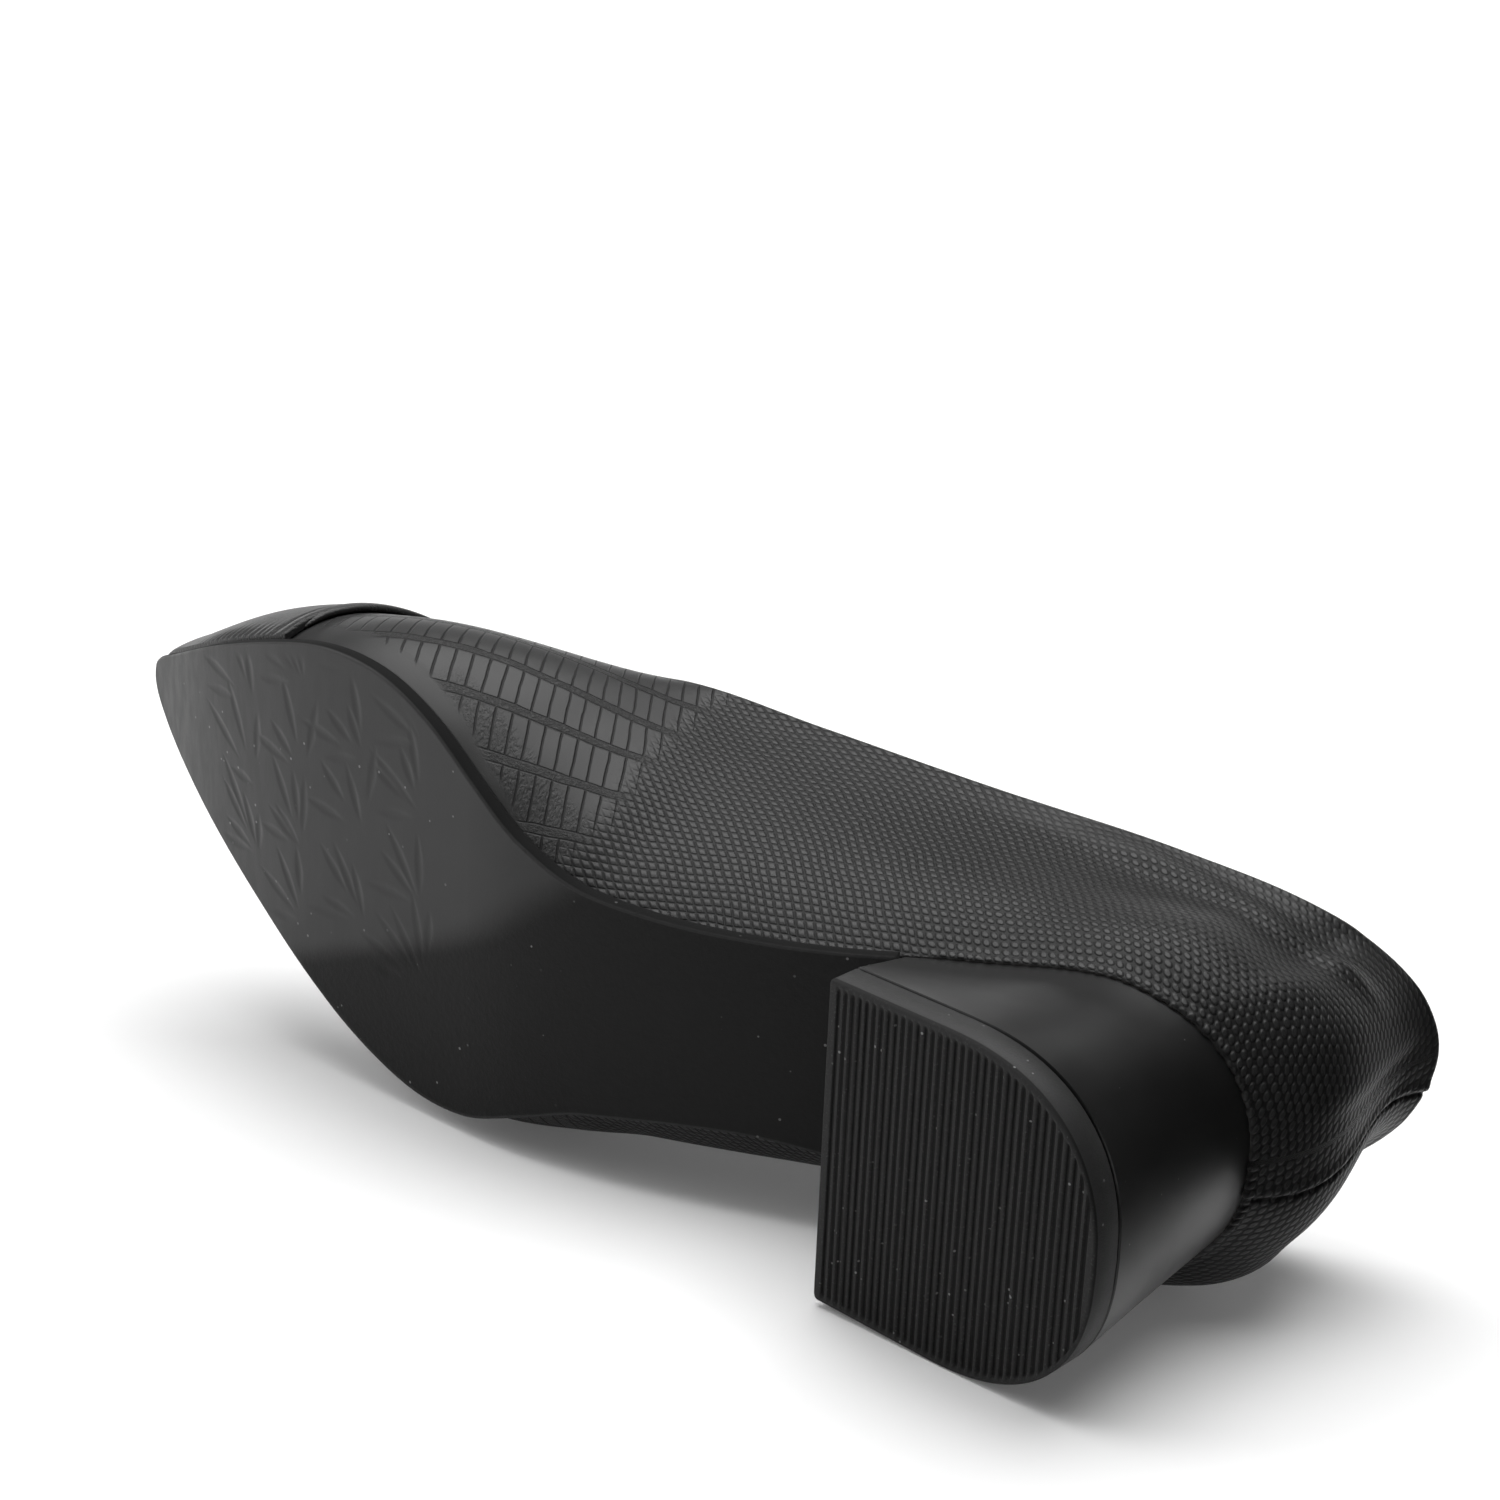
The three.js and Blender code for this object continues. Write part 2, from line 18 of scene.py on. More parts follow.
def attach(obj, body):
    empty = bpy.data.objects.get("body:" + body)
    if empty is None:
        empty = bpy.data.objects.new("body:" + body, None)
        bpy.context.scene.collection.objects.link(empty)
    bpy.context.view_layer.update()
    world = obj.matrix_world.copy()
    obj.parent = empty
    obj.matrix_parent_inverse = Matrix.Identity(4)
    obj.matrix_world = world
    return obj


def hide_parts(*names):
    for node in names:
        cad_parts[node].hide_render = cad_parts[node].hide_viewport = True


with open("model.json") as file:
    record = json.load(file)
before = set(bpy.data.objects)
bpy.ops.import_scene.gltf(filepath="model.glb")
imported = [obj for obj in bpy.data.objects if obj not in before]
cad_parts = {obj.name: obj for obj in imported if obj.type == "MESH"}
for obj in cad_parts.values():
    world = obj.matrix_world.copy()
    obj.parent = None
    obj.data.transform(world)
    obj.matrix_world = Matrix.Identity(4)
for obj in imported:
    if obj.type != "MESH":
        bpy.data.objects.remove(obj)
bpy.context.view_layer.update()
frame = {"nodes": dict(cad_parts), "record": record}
print("nodes:", sorted(frame["nodes"]))

# %% [markdown]
# A shoemaker thinks of a shoe standing: heel at the back, toe ahead, sole on the ground. The shoe in the
# photo lies on its side. The sections are easiest to read standing, so they are worked out standing and
# in millimetres, and one step then lays every point down. The two treads in the record say how: each
# gives a spot on the floor the shoe would stand on, and the way out of that floor.

# %% Find how the shoe lies
MM = 0.001
HEEL_TREAD_SPOT = np.array([23.0, 0.0, 0.0])
BALL_TREAD_SPOT = np.array([155.0, 10.0, 0.0])


def unit(vector):
    length = np.linalg.norm(vector, axis=-1, keepdims=True)
    return vector / np.maximum(length, 1e-9)


def lying_axes():
    mounts = {mount["name"]: mount for mount in frame["record"]["mounts"]}
    heel_spot = np.array(mounts["heel_tread"]["pos_m"]) / MM
    ball_spot = np.array(mounts["forefoot_tread"]["pos_m"]) / MM
    up = unit(-np.array(mounts["heel_tread"]["axis"], float))
    run = ball_spot - heel_spot
    run = unit(run - up * (run @ up))
    side = np.cross(up, run)
    step = BALL_TREAD_SPOT - HEEL_TREAD_SPOT
    turn = math.atan2(step[1], step[0])
    ahead = math.cos(turn) * run - math.sin(turn) * side
    left = math.sin(turn) * run + math.cos(turn) * side
    return np.column_stack([ahead, left, up]), heel_spot


LYING_AXES, LYING_HEEL_SPOT = lying_axes()


def lay_down(points):
    """Standing millimetres to metres as the shoe lies."""
    return ((np.asarray(points, float) - HEEL_TREAD_SPOT) @ LYING_AXES.T + LYING_HEEL_SPOT) * MM


print("the shoe's own up, as it lies:", LYING_AXES[:, 2].round(3))

# %% [markdown]
# The sole's edge, the sole seen from the side, the topline and the way each section of the upper swells
# are short tables, the same as the model's. A table is read on a smooth curve through its rows. In
# Blender such a curve could also be drawn by hand as a Bezier, but tables keep every piece on the same
# form, so that the upper meets the sole and the cap follows the upper without any fitting.

# %% Read the shoe's sections
SOLE_LENGTH = 241.0
BALL_WIDTH = 80.0
HEEL_HEIGHT = 48.5
TOE_SPRING = 8.6
SOLE_THICKNESS = 3.0
COLLAR_HEIGHT = 105.0
UPPER_WALL = 1.8
UPPER_INSET = 1.0
CAP_THICKNESS = 1.3
CAP_LENGTH = 50.0
INSOLE_THICKNESS = 1.6
CLEARANCE = 0.3

# way round the shoe, place along it and place across it
SOLE_EDGE = [
    (0, 1.0, 0.309), (0.008, 0.9935, 0.358), (0.024, 0.962, 0.402), (0.067, 0.871, 0.511),
    (0.115, 0.767, 0.606), (0.14, 0.711, 0.63), (0.165, 0.656, 0.6125), (0.189, 0.606, 0.55),
    (0.2144, 0.559, 0.4525), (0.2415, 0.51, 0.3475), (0.269, 0.4535, 0.274), (0.324, 0.33, 0.241),
    (0.378, 0.2075, 0.272), (0.4225, 0.11, 0.318), (0.4465, 0.057, 0.277), (0.465, 0.0225, 0.1925),
    (0.4827, 0.0045, 0.085), (0.5, 0, -0.031), (0.5175, 0.0054, -0.15), (0.535, 0.0257, -0.256),
    (0.553, 0.06, -0.331), (0.578, 0.116, -0.356), (0.619, 0.2075, -0.281), (0.6715, 0.327, -0.225),
    (0.7265, 0.452, -0.261), (0.7535, 0.511, -0.3225), (0.7785, 0.565, -0.38), (0.802, 0.619, -0.3875),
    (0.826, 0.672, -0.349), (0.8515, 0.726, -0.2775), (0.9035, 0.828, -0.095), (0.9505, 0.92, 0.0775),
    (0.9755, 0.967, 0.175), (0.992, 0.9935, 0.256), (1, 1.0, 0.309),
]

# place along, share of the heel height, share of the toe spring
SOLE_PROFILE = [
    (0, 0.94, 0), (0.057, 0.855, 0), (0.11, 0.78, 0), (0.2075, 0.65, 0), (0.27, 0.497, 0), (0.33, 0.35, 0),
    (0.39, 0.206, 0), (0.452, 0.089, 0), (0.51, 0.019, 0), (0.56, 0, 0), (0.72, 0, 0), (0.8, 0, 0.08),
    (0.9, 0, 0.4), (1, 0, 1),
]

# way round, place along, place across, share of the collar height
TOPLINE = [
    (0, 0.72, 0.16, 0.555), (0.06, 0.706, 0.31, 0.545), (0.12, 0.662, 0.43, 0.515),
    (0.18, 0.585, 0.495, 0.555), (0.25, 0.475, 0.44, 0.65), (0.32, 0.34, 0.387, 0.738),
    (0.39, 0.175, 0.358, 0.802), (0.44, 0.07, 0.29, 0.873), (0.475, 0.017, 0.14, 0.965),
    (0.5, 0.001, -0.03, 1), (0.525, 0.015, -0.2, 0.955), (0.56, 0.07, -0.335, 0.868),
    (0.61, 0.175, -0.385, 0.785), (0.68, 0.34, -0.4, 0.705), (0.75, 0.475, -0.39, 0.61),
    (0.82, 0.585, -0.29, 0.53), (0.88, 0.662, -0.13, 0.51), (0.94, 0.706, 0.01, 0.54), (1, 0.72, 0.16, 0.555),
]

# way round, then how the section leaves the sole (out, rise) and reaches the topline (back out, back drop)
SPOKE_SHAPE = [
    (0, 0.08, 0.29, 0.4, 0.02), (0.06, 0.14, 0.3, 0.27, 0.03), (0.12, 0.12, 0.26, 0.12, 0.08),
    (0.18, 0.12, 0.23, 0.08, 0.16), (0.25, 0.17, 0.24, 0.05, 0.22), (0.32, 0.17, 0.24, 0.055, 0.24),
    (0.39, 0.16, 0.24, 0.06, 0.24), (0.44, 0.15, 0.24, 0.07, 0.24), (0.5, 0.17, 0.25, 0.08, 0.24),
    (0.53, 0.22, 0.25, 0.08, 0.24), (0.56, 0.26, 0.25, 0.08, 0.24), (0.61, 0.29, 0.25, 0.08, 0.24),
    (0.68, 0.34, 0.25, 0.06, 0.24), (0.75, 0.27, 0.25, 0.06, 0.2), (0.82, 0.13, 0.23, 0.07, 0.14),
    (0.88, 0.1, 0.27, 0.14, 0.08), (0.94, 0.09, 0.29, 0.28, 0.03), (1, 0.08, 0.29, 0.4, 0.02),
]


def read_table(rows, column, place, closed=True):
    """One column of a table at any places along its first column, on a smooth curve."""
    table = np.array(rows, float)
    key, value = table[:, 0], table[:, column]
    slope = np.gradient(value)
    slope[1:-1] = (value[2:] - value[:-2]) / (key[2:] - key[:-2])
    slope[0] = (value[1] - value[0]) / (key[1] - key[0])
    slope[-1] = (value[-1] - value[-2]) / (key[-1] - key[-2])
    if closed:
        slope[0] = slope[-1] = (value[1] - value[-2]) / (key[1] - key[-2] + key[-1] - key[0])
    row = np.clip(np.searchsorted(key, place, side="right") - 1, 0, len(key) - 2)
    width = key[row + 1] - key[row]
    t = (place - key[row]) / width
    flat = value[row] == value[row + 1]
    leave = np.where(flat, 0, slope[row] * width)
    arrive = np.where(flat, 0, slope[row + 1] * width)
    start = value[row] * (2 * t**3 - 3 * t**2 + 1) + leave * (t**3 - 2 * t**2 + t)
    return start + value[row + 1] * (3 * t**2 - 2 * t**3) + arrive * (t**3 - t**2)


def smooth_step(low, high, value):
    t = np.clip((value - low) / (high - low), 0, 1)
    return t * t * (3 - 2 * t)


def sole_height(x):
    place = np.clip(x / SOLE_LENGTH, 0, 1)
    heel = read_table(SOLE_PROFILE, 1, place, closed=False) * HEEL_HEIGHT
    toe = read_table(SOLE_PROFILE, 2, place, closed=False) * TOE_SPRING
    return np.maximum(heel, 0) + np.maximum(toe, 0)


def sole_edge(way):
    way = np.mod(way, 1.0)
    along = read_table(SOLE_EDGE, 1, way) * SOLE_LENGTH
    across = read_table(SOLE_EDGE, 2, way) * BALL_WIDTH
    return np.stack([along, across], -1)


EDGE_STEP = 1 / 288


def edge_out(way):
    run = unit(sole_edge(way + EDGE_STEP) - sole_edge(way - EDGE_STEP))
    return np.stack([run[..., 1], -run[..., 0]], -1)


def inset_edge(way, inset):
    return sole_edge(way) - edge_out(way) * np.asarray(inset)[..., None]


def seat_height(x):
    return sole_height(x) + SOLE_THICKNESS + CLEARANCE


edge_walk = sole_edge(np.linspace(0, 1, 400))
print("sole", SOLE_LENGTH, "mm long and", round(float(np.ptp(edge_walk[:, 1])), 1), "mm across its ball")

# %% [markdown]
# The upper is a skin pulled over a last. Its section at each place round the shoe is one Bezier curve
# from the sole's edge to the topline, which is how a last maker would draw it. A subdivided cage would
# also do, but then the wall, the cap and the lining would each need their own cage. With one function,
# the lining is the same surface a wall's thickness further in, and the cap is the same surface a little
# further out.

# %% Work out the upper's surface
def upper_point(way, reach):
    way = np.mod(way, 1.0)
    out = edge_out(way)
    foot = inset_edge(way, UPPER_INSET)

    def shape(column):
        return read_table(SPOKE_SHAPE, column, way) * BALL_WIDTH

    top = np.stack([
        read_table(TOPLINE, 1, way) * SOLE_LENGTH,
        read_table(TOPLINE, 2, way) * BALL_WIDTH,
        read_table(TOPLINE, 3, way) * COLLAR_HEIGHT,
    ], -1)
    bottom = np.concatenate([foot, seat_height(foot[..., 0])[..., None]], -1)
    lower = bottom + np.concatenate([out * shape(1)[..., None], shape(2)[..., None]], -1)
    to_foot = unit(foot - top[..., :2])
    higher = top + np.concatenate([to_foot * shape(3)[..., None], -shape(4)[..., None]], -1)
    t = reach[..., None]
    return bottom * (1 - t) ** 3 + 3 * lower * t * (1 - t) ** 2 + 3 * higher * t**2 * (1 - t) + top * t**3


WAY_STEP = 1 / 432
REACH_STEP = 1 / 84


def upper_normal(way, reach):
    round_shoe = upper_point(way + WAY_STEP, reach) - upper_point(way - WAY_STEP, reach)
    above = upper_point(way, np.minimum(reach + REACH_STEP, 1))
    below = upper_point(way, np.maximum(reach - REACH_STEP, 0))
    return unit(np.cross(round_shoe, above - below))


def upper_layer(way, reach, depth):
    """The upper's surface at a depth under its outer face, standing on the sole at reach 0."""
    spot = upper_point(way, reach) - upper_normal(way, reach) * np.asarray(depth)[..., None]
    floor = seat_height(spot[..., 0])
    spot[..., 2] = np.where(reach <= 0, floor, np.maximum(spot[..., 2], floor))
    return spot


back_height = upper_point(np.array(0.5), np.array(1.0))[2]
print("collar at the back seam:", round(float(back_height), 1), "mm up")

# %% [markdown]
# Every piece comes from grids of points, so one helper turns grids into a mesh. It joins points that fall
# on each other, drops faces that have closed up, turns all faces outward and shades them smooth. Doing it
# in code keeps each piece one closed body, which is what a real piece of leather, rubber or wood is.

# %% Turn grids of points into pieces
JOIN_DISTANCE = 0.001


def grid_faces(rows, columns, start=0, close_rows=False, flip=False):
    """Faces between the points of a grid that is stored row by row."""
    i = np.arange(rows if close_rows else rows - 1)
    j = np.arange(columns - 1)
    i, j = np.meshgrid(i, j, indexing="ij")
    after = (i + 1) % rows
    corners = [i * columns + j, after * columns + j, after * columns + j + 1, i * columns + j + 1]
    faces = np.stack(corners, -1).reshape(-1, 4) + start
    return faces[:, ::-1] if flip else faces


def turn_outward(mesh):
    body = bmesh.new()
    body.from_mesh(mesh)
    bmesh.ops.recalc_face_normals(body, faces=body.faces)
    body.to_mesh(mesh)
    body.free()


def rounded_rim(outer, inner, away, rows):
    """A half round between two edges that bulges along away."""
    angle = np.linspace(0, math.pi, rows + 2)[1:-1]
    middle = (outer + inner) / 2
    side = (outer - inner) / 2
    return middle[:, None] + side[:, None] * np.cos(angle)[:, None] + away[:, None] * np.sin(angle)[:, None]


def make_piece(name, grids, material, node, values=None, sharp_deg=None):
    """A closed piece from grids: each is (points, close_rows, flip)."""
    points, faces, start = [], [], 0
    for grid, close_rows, flip in grids:
        rows, columns = grid.shape[:2]
        points.append(grid.reshape(-1, 3))
        faces.append(grid_faces(rows, columns, start, close_rows, flip))
        start += rows * columns
    points = np.concatenate(points)
    faces = np.concatenate(faces)
    spots = (points / JOIN_DISTANCE).round().astype(np.int64)
    _, first, joined = np.unique(spots, axis=0, return_index=True, return_inverse=True)
    faces = joined.reshape(-1)[faces]
    kept = []
    for face in faces.tolist():
        corners = [c for n, c in enumerate(face) if c != face[n - 1]]
        if len(set(corners)) >= 3:
            kept.append(corners)
    mesh = bpy.data.meshes.new(name)
    mesh.from_pydata(lay_down(points[first]), [], kept)
    mesh.validate()
    turn_outward(mesh)
    for value_name, value in (values or {}).items():
        kind = "FLOAT_VECTOR" if value.ndim == 2 else "FLOAT"
        attribute = mesh.attributes.new(value_name, kind, "POINT")
        field = "vector" if kind == "FLOAT_VECTOR" else "value"
        attribute.data.foreach_set(field, value[first].astype(np.float32).ravel())
    mesh.shade_smooth()
    piece = bpy.data.objects.new(name, mesh)
    bpy.context.scene.collection.objects.link(piece)
    mesh.materials.append(material)
    if sharp_deg is not None:
        mesh.set_sharp_from_angle(angle=math.radians(sharp_deg))
    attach(piece, "root")
    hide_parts(node)
    print(name, "has", len(mesh.vertices), "points and", sum(len(f) - 2 for f in kept), "triangles")


# %% [markdown]
# The upper is embossed in rows that run from the toe to the heel and climb on the way. A flat image could
# be wrapped on, but it would stretch. Instead every point gets its own place in the leather, in
# millimetres: how far along a row it lies and how far across the rows. A direction for the rows is chosen
# at each point, and the two measures are then relaxed until their steps agree with it as well as they
# can, the way a pattern cutter eases flat leather over a last.

# %% Find each point's place in the leather
CLIMB_PLACES = [30, 70, 105, 160, 175]
CLIMB_SLOPES = [0.28, 0.42, 0.45, 0.45, 0.3]
PLACE_WAYS = 241
PLACE_REACHES = 41
RELAX_STEPS = 900


def row_direction(spot, normal, round_shoe, way):
    """The way the rows run on the surface, heelward."""
    x, z = spot[..., 0], spot[..., 2]
    climb = np.interp(x, CLIMB_PLACES, CLIMB_SLOPES)
    climb = climb + 0.01 * np.clip(z, 0, 40) * smooth_step(80, 110, x) * (1 - smooth_step(160, 180, x))
    lengthwise = np.stack([-np.ones_like(x), 0 * x, climb], -1)
    lengthwise = unit(lengthwise - normal * np.sum(lengthwise * normal, -1, keepdims=True))
    around = unit(round_shoe) * np.where(way >= 0, 1.0, -1.0)[..., None]
    share = (1 - smooth_step(35, 75, x))[..., None]
    return unit(lengthwise * (1 - share) + around * share)


def relax(steps_way, steps_reach, weight_way, weight_reach):
    """Values on a grid whose differences come as near as they can to the given steps."""
    def spread(flow_way, flow_reach):
        total = np.zeros((PLACE_WAYS, PLACE_REACHES))
        total[1:] += flow_way
        total[:-1] -= flow_way
        total[:, 1:] += flow_reach
        total[:, :-1] -= flow_reach
        return total

    value = np.zeros((PLACE_WAYS, PLACE_REACHES))
    rest = spread(weight_way * steps_way, weight_reach * steps_reach)
    search = rest.copy()
    size = np.sum(rest * rest)
    for _ in range(RELAX_STEPS):
        pull = spread(weight_way * np.diff(search, axis=0), weight_reach * np.diff(search, axis=1))
        move = size / np.sum(search * pull)
        value += move * search
        rest -= move * pull
        new_size = np.sum(rest * rest)
        search = rest + search * new_size / size
        size = new_size
        if size < 1e-8:
            break
    return value


def leather_places():
    ways = np.linspace(-0.5, 0.5, PLACE_WAYS)
    reaches = np.linspace(0, 1, PLACE_REACHES)
    way, reach = np.meshgrid(ways, reaches, indexing="ij")
    spot = upper_point(way, reach)
    normal = upper_normal(way, reach)
    round_shoe = np.gradient(spot, axis=0)
    along = row_direction(spot, normal, round_shoe, way)
    across = np.cross(normal, along)
    step_way, step_reach = np.diff(spot, axis=0), np.diff(spot, axis=1)
    weight_way = 1 / np.maximum(np.sum(step_way**2, -1), 0.04)
    weight_reach = 1 / np.maximum(np.sum(step_reach**2, -1), 0.04)
    places = []
    for run in (along, across):
        wanted_way = np.sum((run[1:] + run[:-1]) / 2 * step_way, -1)
        wanted_reach = np.sum((run[:, 1:] + run[:, :-1]) / 2 * step_reach, -1)
        places.append(relax(wanted_way, wanted_reach, weight_way, weight_reach))
    return places


PLACE_ALONG, PLACE_ACROSS = leather_places()


def read_place(values, way, reach):
    """Value of the relaxed grid at any way and reach."""
    u = (np.mod(way + 0.5, 1.0)) * (PLACE_WAYS - 1)
    v = reach * (PLACE_REACHES - 1)
    i = np.clip(u.astype(int), 0, PLACE_WAYS - 2)
    j = np.clip(v.astype(int), 0, PLACE_REACHES - 2)
    a, b = u - i, v - j
    low = values[i, j] * (1 - a) + values[i + 1, j] * a
    high = values[i, j + 1] * (1 - a) + values[i + 1, j + 1] * a
    return low * (1 - b) + high * b


print("leather runs", round(float(np.ptp(PLACE_ALONG))), "mm along")
print("leather runs", round(float(np.ptp(PLACE_ACROSS))), "mm across")

# %% [markdown]
# Materials are node trees. A small recipe helper adds nodes and joins them, so that each finish below
# reads as a list of what the colour does, what the shine does and what the fine relief is. The same trees
# could be wired by hand in the shader editor. In code the repeated steps, a groove or a smooth edge, get
# a name.

# %% Start a material
class Recipe:
    def __init__(self, name, roughness=0.5, coat=0.0, coat_roughness=0.2, specular=0.5):
        self.material = bpy.data.materials.new(name)
        self.material.use_nodes = True
        self.tree = self.material.node_tree
        self.shader = self.tree.nodes["Principled BSDF"]
        self.shader.inputs["Roughness"].default_value = roughness
        self.shader.inputs["Coat Weight"].default_value = coat
        self.shader.inputs["Coat Roughness"].default_value = coat_roughness
        self.shader.inputs["Specular IOR Level"].default_value = specular

    def give(self, socket, value):
        if isinstance(value, bpy.types.NodeSocket):
            self.tree.links.new(value, socket)
        elif value is not None:
            socket.default_value = value

    def math(self, operation, *values):
        node = self.tree.nodes.new("ShaderNodeMath")
        node.operation = operation
        for socket, value in zip(node.inputs, values):
            self.give(socket, value)
        return node.outputs[0]

    def vector(self, x, y, z=0.0):
        node = self.tree.nodes.new("ShaderNodeCombineXYZ")
        for socket, value in zip(node.inputs, (x, y, z)):
            self.give(socket, value)
        return node.outputs[0]

    def read(self, name, output="Fac"):
        node = self.tree.nodes.new("ShaderNodeAttribute")
        node.attribute_name = name
        return node.outputs[output]

    def split(self, vector):
        node = self.tree.nodes.new("ShaderNodeSeparateXYZ")
        self.give(node.inputs[0], vector)
        return node.outputs

    def noise(self, vector, scale, detail=2.0, roughness=0.5):
        node = self.tree.nodes.new("ShaderNodeTexNoise")
        self.give(node.inputs["Vector"], vector)
        self.give(node.inputs["Scale"], scale)
        self.give(node.inputs["Detail"], detail)
        self.give(node.inputs["Roughness"], roughness)
        return node.outputs["Fac"]

    def object_place(self):
        return self.tree.nodes.new("ShaderNodeTexCoord").outputs["Object"]

    def cells(self, vector, scale):
        node = self.tree.nodes.new("ShaderNodeTexVoronoi")
        self.give(node.inputs["Vector"], vector)
        self.give(node.inputs["Scale"], scale)
        return node.outputs["Distance"]

    def dust(self, place, speck_scale, speck_sizes, patch_scale, patch_edge):
        """Small specks that lie only inside soft patches."""
        specks = self.rise(self.cells(place, speck_scale), *speck_sizes)
        return self.math("MULTIPLY", specks, self.rise(self.noise(place, patch_scale), *patch_edge))

    def rise(self, value, low, high, start=0.0, end=1.0):
        """A smooth step from start to end as value goes from low to high."""
        node = self.tree.nodes.new("ShaderNodeMapRange")
        node.interpolation_type = "SMOOTHSTEP"
        settings = {"Value": value, "From Min": low, "From Max": high, "To Min": start, "To Max": end}
        for name, setting in settings.items():
            self.give(node.inputs[name], setting)
        return node.outputs[0]

    def blend(self, share, first, second):
        """first where share is 0, second where it is 1."""
        gap = self.math("SUBTRACT", second, first)
        return self.math("MULTIPLY_ADD", gap, share, first)

    def tint(self, share, dark, light):
        node = self.tree.nodes.new("ShaderNodeMix")
        node.data_type = "RGBA"
        self.give(node.inputs["Factor"], share)
        self.give(node.inputs[6], dark)
        self.give(node.inputs[7], light)
        return node.outputs[2]

    def bump(self, height, depth, normal=None):
        node = self.tree.nodes.new("ShaderNodeBump")
        node.inputs["Strength"].default_value = 1.0
        node.inputs["Distance"].default_value = depth * MM
        self.give(node.inputs["Height"], height)
        self.give(node.inputs["Normal"], normal)
        return node.outputs[0]

    def finish(self, color=None, roughness=None, normal=None):
        self.give(self.shader.inputs["Base Color"], color)
        self.give(self.shader.inputs["Roughness"], roughness)
        self.give(self.shader.inputs["Normal"], normal)
        return self.material


def grey(level, warmth=0.0):
    return (level * (1 + warmth), level, level * (1 - warmth), 1)


print("recipes ready")

# %% [markdown]
# The embossed leather has two patterns. The quarters carry rows of small beads, each row shifted against
# the next, and the vamp carries rows of wide flat belly scales with fine cross grooves, parted by bands
# of tiny wrinkles. Over the counter the beads turn to round pebbles. All are worked out from the distance
# to the nearest row line and cross line. Depth is under a third of a millimetre, so it is bump and not
# mesh. Grooves are duller than the tops, because polish stays on the tops, and they are painted darker
# as painted shade.

# %% Mix the embossed leather
BEAD_LENGTH = 1.75
BEAD_WIDTH = 1.65
SCALE_LENGTH = 2.9
SCALE_WIDTH = 11.2
ROW_SHIFT = 2.0
BAND_WIDTH = 0.95
EMBOSS_DEPTH = 0.3


def distance_to_line(recipe, value, spacing):
    """Millimetres to the nearest of evenly spaced lines."""
    share = recipe.math("FRACT", value)
    off_centre = recipe.math("ABSOLUTE", recipe.math("SUBTRACT", share, 0.5))
    return recipe.math("MULTIPLY", recipe.math("SUBTRACT", 0.5, off_centre), spacing)


def bead_relief(recipe, along, across, pebbly):
    row = recipe.math("DIVIDE", across, BEAD_WIDTH)
    to_row = distance_to_line(recipe, row, BEAD_WIDTH)
    stagger = recipe.math("MULTIPLY", recipe.math("FLOOR", row), 0.5)
    shifted = recipe.math("MULTIPLY_ADD", recipe.math("FRACT", row), 0.55, stagger)
    column = recipe.math("ADD", recipe.math("DIVIDE", along, BEAD_LENGTH), shifted)
    to_tick = distance_to_line(recipe, column, BEAD_LENGTH)
    line = recipe.rise(to_row, 0.0, 0.3)
    tick = recipe.rise(to_tick, 0.0, 0.5)
    dome = recipe.rise(to_row, 0.0, BEAD_WIDTH / 2, 0.7, 1.0)
    bead = recipe.math("MULTIPLY", recipe.math("MULTIPLY", line, tick), dome)
    off_row = recipe.math("MULTIPLY_ADD", to_row, -2 / BEAD_WIDTH, 1.0)
    off_tick = recipe.math("MULTIPLY_ADD", to_tick, -2 / BEAD_LENGTH, 1.0)
    off_middle = recipe.math("MULTIPLY_ADD", off_row, off_row, recipe.math("MULTIPLY", off_tick, off_tick))
    return recipe.blend(pebbly, bead, recipe.rise(off_middle, 1.0, 0.15))


def belly_relief(recipe, along, across, wrinkles):
    row = recipe.math("DIVIDE", recipe.math("ADD", across, ROW_SHIFT), SCALE_WIDTH)
    to_row = distance_to_line(recipe, row, SCALE_WIDTH)
    row_number = recipe.math("FLOOR", row)
    slant = recipe.math("MULTIPLY", recipe.math("FRACT", row), 0.35)
    shifted = recipe.math("MULTIPLY_ADD", row_number, 0.37, slant)
    column = recipe.math("ADD", recipe.math("DIVIDE", along, SCALE_LENGTH), shifted)
    to_column = distance_to_line(recipe, column, SCALE_LENGTH)
    cross_groove = recipe.rise(to_column, 0.02, 0.3)
    to_band = recipe.math("ABSOLUTE", recipe.math("SUBTRACT", to_row, BAND_WIDTH))
    band_groove = recipe.rise(to_band, 0.0, 0.28)
    fine = recipe.noise(recipe.vector(along, across), 1.6, 4.0, 0.65)
    in_band = recipe.rise(to_row, BAND_WIDTH + 0.1, BAND_WIDTH - 0.1)
    band_top = recipe.rise(fine, 0.38, 0.62, 0.35, 0.7)
    folds = recipe.noise(recipe.vector(recipe.math("MULTIPLY", along, 2.2), across), 0.9, 3.0, 0.55)
    wrinkled = recipe.blend(wrinkles, 1.0, recipe.rise(folds, 0.38, 0.6, 0.55, 0.85))
    top = recipe.blend(in_band, recipe.math("MULTIPLY", cross_groove, wrinkled), band_top)
    return recipe.math("MULTIPLY", top, band_groove)


